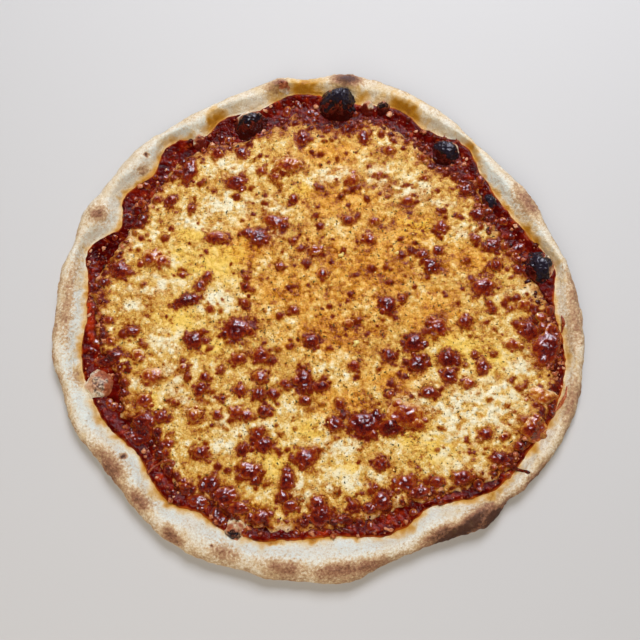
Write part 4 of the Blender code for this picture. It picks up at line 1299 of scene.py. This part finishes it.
crowded = domes[np.minimum(domes[:, 2], domes[:, 3]) > CROWDED_FROM]
crowding = off_the_rim(satellites(crowded, CROWDING_EACH, CROWDING_SEED))
dome_parts = []
for blisters, grid in (
    (large_domes, LARGE_DOME_GRID), (small_domes, SMALL_DOME_GRID), (crowding, CROWDING_DOME_GRID),
):
    points, faces, marks = dome_mesh(blisters, *grid)
    dome_parts.append((points, faces, [marks]))
dome_points, dome_faces, dome_marks = joined(dome_parts)
blister_domes = put_mesh("cheese_blisters", dome_points, dome_faces.tolist(), {"browning": dome_marks[0]})

DOME_BROWNING = (
    (-0.3, "#EED6B4"), (-0.05, "#DCAA6A"), (0.15, "#C07A28"), (0.32, "#9C4810"), (0.5, "#86260A"),
    (0.7, "#5E130A"), (0.95, "#38080E"),
)


def blister_skin():
    """The browned skin of a blister: thin dried milk protein under oil, smooth and glossy, deep
    maroon where it is thickest and orange-brown towards its foot.
    """
    material, tree, shader, place, mark = new_material("blister_skin", ("browning",))
    mid, fine = (
        add(tree, "TexNoise", {"Vector": place, "Scale": 1 / (size * MM), "Detail": octaves})
        for size, octaves in ((2.6, 3.0), (1.0, 2.0))
    )
    level = add(tree, "Math", {0: mid, 1: 0.9, 2: mark["browning"]}, operation="MULTIPLY_ADD")
    level = add(tree, "Math", {0: fine, 1: 0.5, 2: level}, operation="MULTIPLY_ADD")
    level = add(tree, "Math", {0: level, 1: 0.7}, operation="SUBTRACT")
    colour = shaded(tree, level, DOME_BROWNING)
    rough = add(tree, "MapRange", {0: fine, 1: 0.35, 2: 0.65, 3: 0.12, 4: 0.28})
    bump = add(tree, "Bump", {"Strength": 0.7, "Distance": 0.35 * MM, "Height": fine})
    plug(tree, shader, {
        "Base Color": colour, "Specular IOR Level": 0.8, "Roughness": rough, "Normal": bump,
    })
    return material


blister_domes.data.materials.append(blister_skin())
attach(blister_domes, "root")
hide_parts("cheese")


# ==== Loose bits ====================================================================
# Crumbs of the same cheese lie apart on the sauce and the sheet's rim, some pale and some
# browned.  A few longer shreds baked onto the rim, and there are granules of dried garlic.

CRUMB_COUNT = 1000
CRUMB_SEED = 121
CRUMB_FROM_RIM = 1.5                # they keep this far inside the sauce's edge
CRUMB_ON_CHEESE = 9.0               # and reach this far in over the cheese
# Granules: picture point, half size, turn in radians.
GRANULES = ((341, 255, 2.4, 0.4), (397, 253, 1.9, 0.1), (356, 343, 3.0, 0.7))
SMALL_GRANULES = 26
GRANULE_SEED = 122
# Shreds: picture points of the start, bend and end, half width, tone from 0, pale, to 1, dark.
Shred = namedtuple("Shred", "start bend end half_width tone")
SHREDS = (
    Shred((508, 465), (519, 470), (529, 473), 1.5, 0.85),
    Shred((562, 315), (566, 323), (563, 332), 1.4, 0.6),
    Shred((568, 385), (567, 401), (556, 411), 1.4, 0.45),
    Shred((146, 474), (158, 457), (175, 462), 1.2, 0.55),
    Shred((336, 526), (345, 531), (354, 533), 1.2, 0.8),
    Shred((384, 528), (389, 531), (394, 530), 1.2, 0.3),
    Shred((302, 516), (307, 521), (312, 524), 0.8, 0.9),
)
SHRED_ROWS = 26
SHRED_COLUMNS = 12
BIT_RISES = (60.0, 22.0, -18.0, -55.0)              # rings of a bit's coarse ball, in degrees
BIT_MERIDIANS = 8
BIT_TURN = 7.0                      # greatest turn of a bit in radians, past a full circle
SHRED_LUMPS = ((0.2, 1.6, 67),)


def scattered(places, half_sizes, turns, seed):
    """Small lumpy closed bits: a coarse ball, squashed, dented and turned for each."""
    rise = np.radians(BIT_RISES)[:, None]
    turn = np.radians(np.arange(BIT_MERIDIANS) * 360.0 / BIT_MERIDIANS)[None, :]
    flat = np.cos(rise)
    ball = np.stack((flat * np.cos(turn), flat * np.sin(turn), np.sin(rise) + 0.0 * turn), axis=-1)
    points, faces = closed_grid(ball, (0.0, 0.0, 1.0), (0.0, 0.0, -1.0))
    count = len(places)
    dents = np.random.default_rng(seed).uniform(0.45, 1.45, (count, len(points), 1))
    x, y, z = np.moveaxis(points[None] * dents * half_sizes[:, None, :], -1, 0)
    cos, sin = np.cos(turns)[:, None], np.sin(turns)[:, None]
    bits = np.stack((x * cos - y * sin, x * sin + y * cos, z), axis=-1) + places[:, None, :]
    start = (np.arange(count) * len(points))[:, None, None]
    return bits.reshape(-1, 3), (faces[None] + start).reshape(-1, 3), len(points)


crumb_random = np.random.default_rng(CRUMB_SEED).uniform(0.0, 1.0, (6, CRUMB_COUNT))
crumb_angle = 360.0 * crumb_random[0]
crumb_edge = sauce_edge(crumb_angle) - CRUMB_FROM_RIM
crumb_inner = cheese_edge(crumb_angle) - CRUMB_ON_CHEESE
crumb_radius = crumb_inner + (crumb_edge - crumb_inner) * crumb_random[1]
crumb_x, crumb_y = place_at(crumb_radius, crumb_angle)
crumb_long = 0.5 + 2.1 * crumb_random[2] ** 4
crumb_wide = crumb_long * (0.6 + 0.4 * crumb_random[3])
crumb_sizes = np.stack((crumb_long, crumb_wide, 0.32 * crumb_long), axis=-1)
crumb_z = topping_height(crumb_x, crumb_y) + 0.15 * crumb_long
crumb_places = np.stack((crumb_x, crumb_y, crumb_z), axis=-1)
crumb_turns = BIT_TURN * crumb_random[4]
crumb_points, crumb_faces, each = scattered(crumb_places, crumb_sizes, crumb_turns, CRUMB_SEED)
crumbs = put_mesh("cheese_crumbs", crumb_points, crumb_faces.tolist(), {
    "tone": np.repeat(0.16 + 0.8 * crumb_random[5] ** 0.8, each),
})


def shred_mesh(shred):
    """A shred of cheese: a round section carried along a curve, thinning towards its ends.

    The curve is a parabola through the start, pulled to the bend, to the end; it lies on the
    surface.  The section's radius is the half width, less at the ends with the fourth power of
    the distance from the middle, and it swells and narrows as a sine along the shred.
    """
    t = np.linspace(0.0, 1.0, SHRED_ROWS)
    picked = shred.start, shred.bend, shred.end
    corners = [np.array(from_photo(*point, RIM_SURFACE)) for point in picked]
    weights = ((1 - t) ** 2, 2 * t * (1 - t), t ** 2)
    path = sum(weight[:, None] * corner for weight, corner in zip(weights, corners))
    along = np.gradient(path, axis=0)
    along = along / np.linalg.norm(along, axis=-1, keepdims=True)
    beside = np.stack((-along[:, 1], along[:, 0]), axis=-1)
    thickness = shred.half_width * (1.0 - (2.0 * t - 1.0) ** 4 * 0.8)
    thickness = thickness * (1.0 + 0.25 * np.sin(9.0 * t + shred.start[0]))
    height = topping_height(path[:, 0], path[:, 1]) + 0.35 * shred.half_width
    turn = 2.0 * np.pi * np.arange(SHRED_COLUMNS) / SHRED_COLUMNS
    flat = path[:, None, :] + (thickness[:, None] * np.cos(turn))[..., None] * beside[:, None, :]
    level = height[:, None] + thickness[:, None] * 0.8 * np.sin(turn)
    grid = np.concatenate((flat, level[..., None]), axis=-1)
    grid = grid + outward(grid) * layered(SHRED_LUMPS, grid, kind=grain)[..., None]
    points, faces = closed_grid(grid, grid[0].mean(axis=0), grid[-1].mean(axis=0))
    return points, faces[:, ::-1], [np.full(len(points), shred.tone)]


shred_points, shred_faces, shred_marks = joined([shred_mesh(shred) for shred in SHREDS])
shreds = put_mesh("cheese_shreds", shred_points, shred_faces.tolist(), {"tone": shred_marks[0]})


SCRAP_SHADES = ((0.0, "#DDB48E"), (0.3, "#C47C50"), (0.5, "#98441C"), (0.7, "#6A210D"), (1.0, "#2C080A"))


def cheese_scrap():
    """Bits of mozzarella that baked alone: creamy and matt when pale, oily and dark when not."""
    material, tree, shader, place, mark = new_material("cheese_scrap", ("tone",))
    fine = add(tree, "TexNoise", {"Vector": place, "Scale": 1 / (1.6 * MM), "Detail": 3.0})
    level = add(tree, "Math", {0: fine, 1: 0.9, 2: -0.45}, operation="MULTIPLY_ADD")
    level = add(tree, "Math", {0: level, 1: mark["tone"]}, operation="ADD")
    colour = shaded(tree, level, SCRAP_SHADES)
    rough = add(tree, "MapRange", {0: level, 1: 0.1, 2: 0.7, 3: 0.5, 4: 0.22})
    bump = add(tree, "Bump", {"Strength": 0.5, "Distance": 0.3 * MM, "Height": fine})
    plug(tree, shader, {
        "Base Color": colour, "Specular IOR Level": 0.3, "Roughness": rough, "Normal": bump,
    })
    return material


scrap = cheese_scrap()
for piece in (crumbs, shreds):
    piece.data.materials.append(scrap)
    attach(piece, "root")

granule_random = np.random.default_rng(GRANULE_SEED).uniform(0.0, 1.0, (4, SMALL_GRANULES))
named = np.array(GRANULES)
named_x, named_y = from_photo(named[:, 0], named[:, 1], CHEESE_SURFACE)
chance_angle = 360.0 * granule_random[0]
chance_radius = 0.9 * cheese_edge(chance_angle) * np.sqrt(granule_random[1])
chance_x, chance_y = place_at(chance_radius, chance_angle)
granule_x = np.append(named_x, chance_x)
granule_y = np.append(named_y, chance_y)
granule_half = np.append(named[:, 2], 0.6 + 0.7 * granule_random[2])
granule_sizes = granule_half[:, None] * (1.0, 0.7, 0.5)
granule_z = topping_height(granule_x, granule_y) + 0.2 * granule_half
granule_places = np.stack((granule_x, granule_y, granule_z), axis=-1)
granule_turns = np.append(named[:, 3], BIT_TURN * granule_random[3])
granule_points, granule_faces, _ = scattered(granule_places, granule_sizes, granule_turns, GRANULE_SEED)
granules = put_mesh("garlic_granules", granule_points, granule_faces.tolist())


def dried_garlic():
    """Dried garlic that drank the oil: dull pale yellow, deeper in patches."""
    material, tree, shader, place, _ = new_material("dried_garlic")
    uneven = add(tree, "TexNoise", {"Vector": place, "Scale": 1 / (1.5 * MM), "Detail": 2.0})
    colour = shaded(tree, uneven, ((0.4, "#F3E08C"), (0.65, "#DDB045")))
    plug(tree, shader, {"Base Color": colour, "Roughness": 0.4})
    return material


granules.data.materials.append(dried_garlic())
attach(granules, "root")


# ==== Dried herbs ==================================================================
# Dried oregano rubbed over the pizza by hand.  Each flake is a thin curled scrap of leaf, from
# under one to nearly three millimetres long, and they fell thickest on the middle and the right.

HERB_COUNT = 2200
HERB_TRIES = 4 * HERB_COUNT
HERB_SEED = 17
HERB_MIDDLE = (360, 330)            # picture point round which they fell thickest
HERB_REACH = 105.0
HERB_PATCHES = ((0.4, 22.0, 95),)
FLAKE_OUTLINE = np.array((
    (-1.0, 0.0), (-0.3, 0.42), (0.55, 0.34), (1.0, 0.0), (0.5, -0.4), (-0.4, -0.36),
))
FLAKE_THICKNESS = 0.16


def flake_mesh(places, sizes, turns, curls):
    """Closed thin flakes: a bent six-sided outline above, and the same outline below it."""
    count, corners = len(places), len(FLAKE_OUTLINE)
    cos, sin = np.cos(turns)[:, None], np.sin(turns)[:, None]
    long = FLAKE_OUTLINE[:, 0] * sizes[:, None]
    wide = FLAKE_OUTLINE[:, 1] * sizes[:, None]
    bend = curls[:, None] * (FLAKE_OUTLINE[:, 0] ** 2) * sizes[:, None]
    ring = np.stack((long * cos - wide * sin, long * sin + wide * cos, bend), axis=-1)
    upper = places[:, None, :] + ring + (0.0, 0.0, FLAKE_THICKNESS)
    lower = places[:, None, :] + ring
    points = np.concatenate((upper, lower), axis=1).reshape(-1, 3)
    start = (np.arange(count) * 2 * corners)[:, None, None]
    fan = np.array([(0, i, i + 1) for i in range(1, corners - 1)])
    here = np.arange(corners)
    beside = (here + 1) % corners
    side = np.stack((here, here + corners, beside + corners, beside), axis=-1)
    top = (fan + start).reshape(-1, 3)
    bottom = (fan[:, ::-1] + corners + start).reshape(-1, 3)
    sides = (side + start).reshape(-1, 4)
    return points, top.tolist() + bottom.tolist() + sides.tolist()


herb_random = np.random.default_rng(HERB_SEED)
herb_angle = herb_random.uniform(0.0, 360.0, HERB_TRIES)
herb_radius = cheese_edge(herb_angle) * np.sqrt(herb_random.uniform(0.0, 0.94, HERB_TRIES))
herb_x, herb_y = place_at(herb_radius, herb_angle)
middle_x, middle_y = from_photo(*HERB_MIDDLE, CHEESE_SURFACE)
herb_away = ((herb_x - middle_x) ** 2 + (herb_y - middle_y) ** 2) / HERB_REACH ** 2
herb_share = (0.25 + 0.75 * np.exp(-herb_away)) * (0.6 + layered(HERB_PATCHES, herb_x, herb_y))
kept = np.flatnonzero(herb_random.uniform(0.0, 1.0, HERB_TRIES) < herb_share)[:HERB_COUNT]
herb_x, herb_y = herb_x[kept], herb_y[kept]
herb_z, _ = cheese_surface(herb_x, herb_y)
herb_places = np.stack((herb_x, herb_y, herb_z + 0.05), axis=-1)
herb_sizes = 0.35 + 0.95 * herb_random.uniform(0.0, 1.0, len(kept)) ** 2.5
herb_turns = herb_random.uniform(0.0, 2.0 * np.pi, len(kept))
herb_curls = herb_random.uniform(-0.1, 0.5, len(kept))
herb_points, herb_faces = flake_mesh(herb_places, herb_sizes, herb_turns, herb_curls)
herbs = put_mesh("herb_flakes", herb_points, herb_faces)
herbs.data.shade_flat()


def dried_leaf():
    """Dried oregano leaf: matt grey-green scraps, some nearly black where the oven caught them."""
    material, tree, shader, place, _ = new_material("dried_leaf")
    shade = add(tree, "TexNoise", {"Vector": place, "Scale": 1 / (5 * MM), "Detail": 1.0})
    green = shaded(tree, shade, ((0.35, "#24190B"), (0.65, "#4C4420")))
    plug(tree, shader, {"Base Color": green, "Roughness": 0.7, "Specular IOR Level": 0.1})
    return material


herbs.data.materials.append(dried_leaf())
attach(herbs, "root")


# ==== Floor and light ==============================================================
# A plain pale floor under a cool window light from behind and the right, with a soft warm fill
# in front.  A low pale sky behind shows only in the gloss of the oil.

FLOOR_HALF = 3.0                    # in metres, as the lights' places and sizes are
FLOOR_DROP = 0.0002                 # keeps it clear of the pizza's underside
floor_data = bpy.data.meshes.new("floor")
corners = [(x * FLOOR_HALF, y * FLOOR_HALF, 0) for x, y in ((-1, -1), (1, -1), (1, 1), (-1, 1))]
floor_data.from_pydata(corners, [], [(0, 1, 2, 3)])
floor = bpy.data.objects.new("floor", floor_data)
bpy.context.scene.collection.objects.link(floor)
floor.location.z = -FLOOR_DROP
paint, floor_tree, floor_shader, _, _ = new_material("pale_floor")
plug(floor_tree, floor_shader, {"Base Color": "#C6C3BE", "Roughness": 0.8, "Specular IOR Level": 0.1})
floor_data.materials.append(paint)


def area_light(name, place, size, power, hex_colour, lights, glints):
    """A square soft light that faces the pizza, and lights it, shows in its gloss, or both."""
    data = bpy.data.lights.new(name, "AREA")
    data.size = size
    data.energy = power
    data.color = linear(hex_colour)[:3]
    light = bpy.data.objects.new(name, data)
    light.visible_diffuse = lights
    light.visible_glossy = glints
    light.rotation_mode = "QUATERNION"
    light.location = place
    light.rotation_quaternion = Vector(place).to_track_quat("Z", "Y")
    bpy.context.scene.collection.objects.link(light)


area_light("window", (0.2, 0.9, 1.15), 0.6, 24.0, "#EDF2FF", True, True)
area_light("sky", (0.1, 1.7, 0.8), 1.2, 22.0, "#E8E4FF", False, True)
area_light("fill", (-0.35, -1.0, 1.15), 1.3, 14.0, "#FFF6EA", True, False)
# The room is pale at eye level and darker overhead.
world = bpy.data.worlds.new("studio")
world.use_nodes = True
room = world.node_tree
direction = add(room, "TexCoord", {}, "Generated")
height = add(room, "SeparateXYZ", {0: direction}, "Z")
level = add(room, "MapRange", {0: height, 3: 0.42, 4: 0.05})
plug(room, room.nodes["Background"], {"Color": "#EFF2F8", "Strength": level})
# Only the lights show in the gloss, so the room's own pale haze is kept out of it.
world.cycles_visibility.glossy = False
bpy.context.scene.world = world
bpy.context.scene.view_settings.view_transform = "Standard"
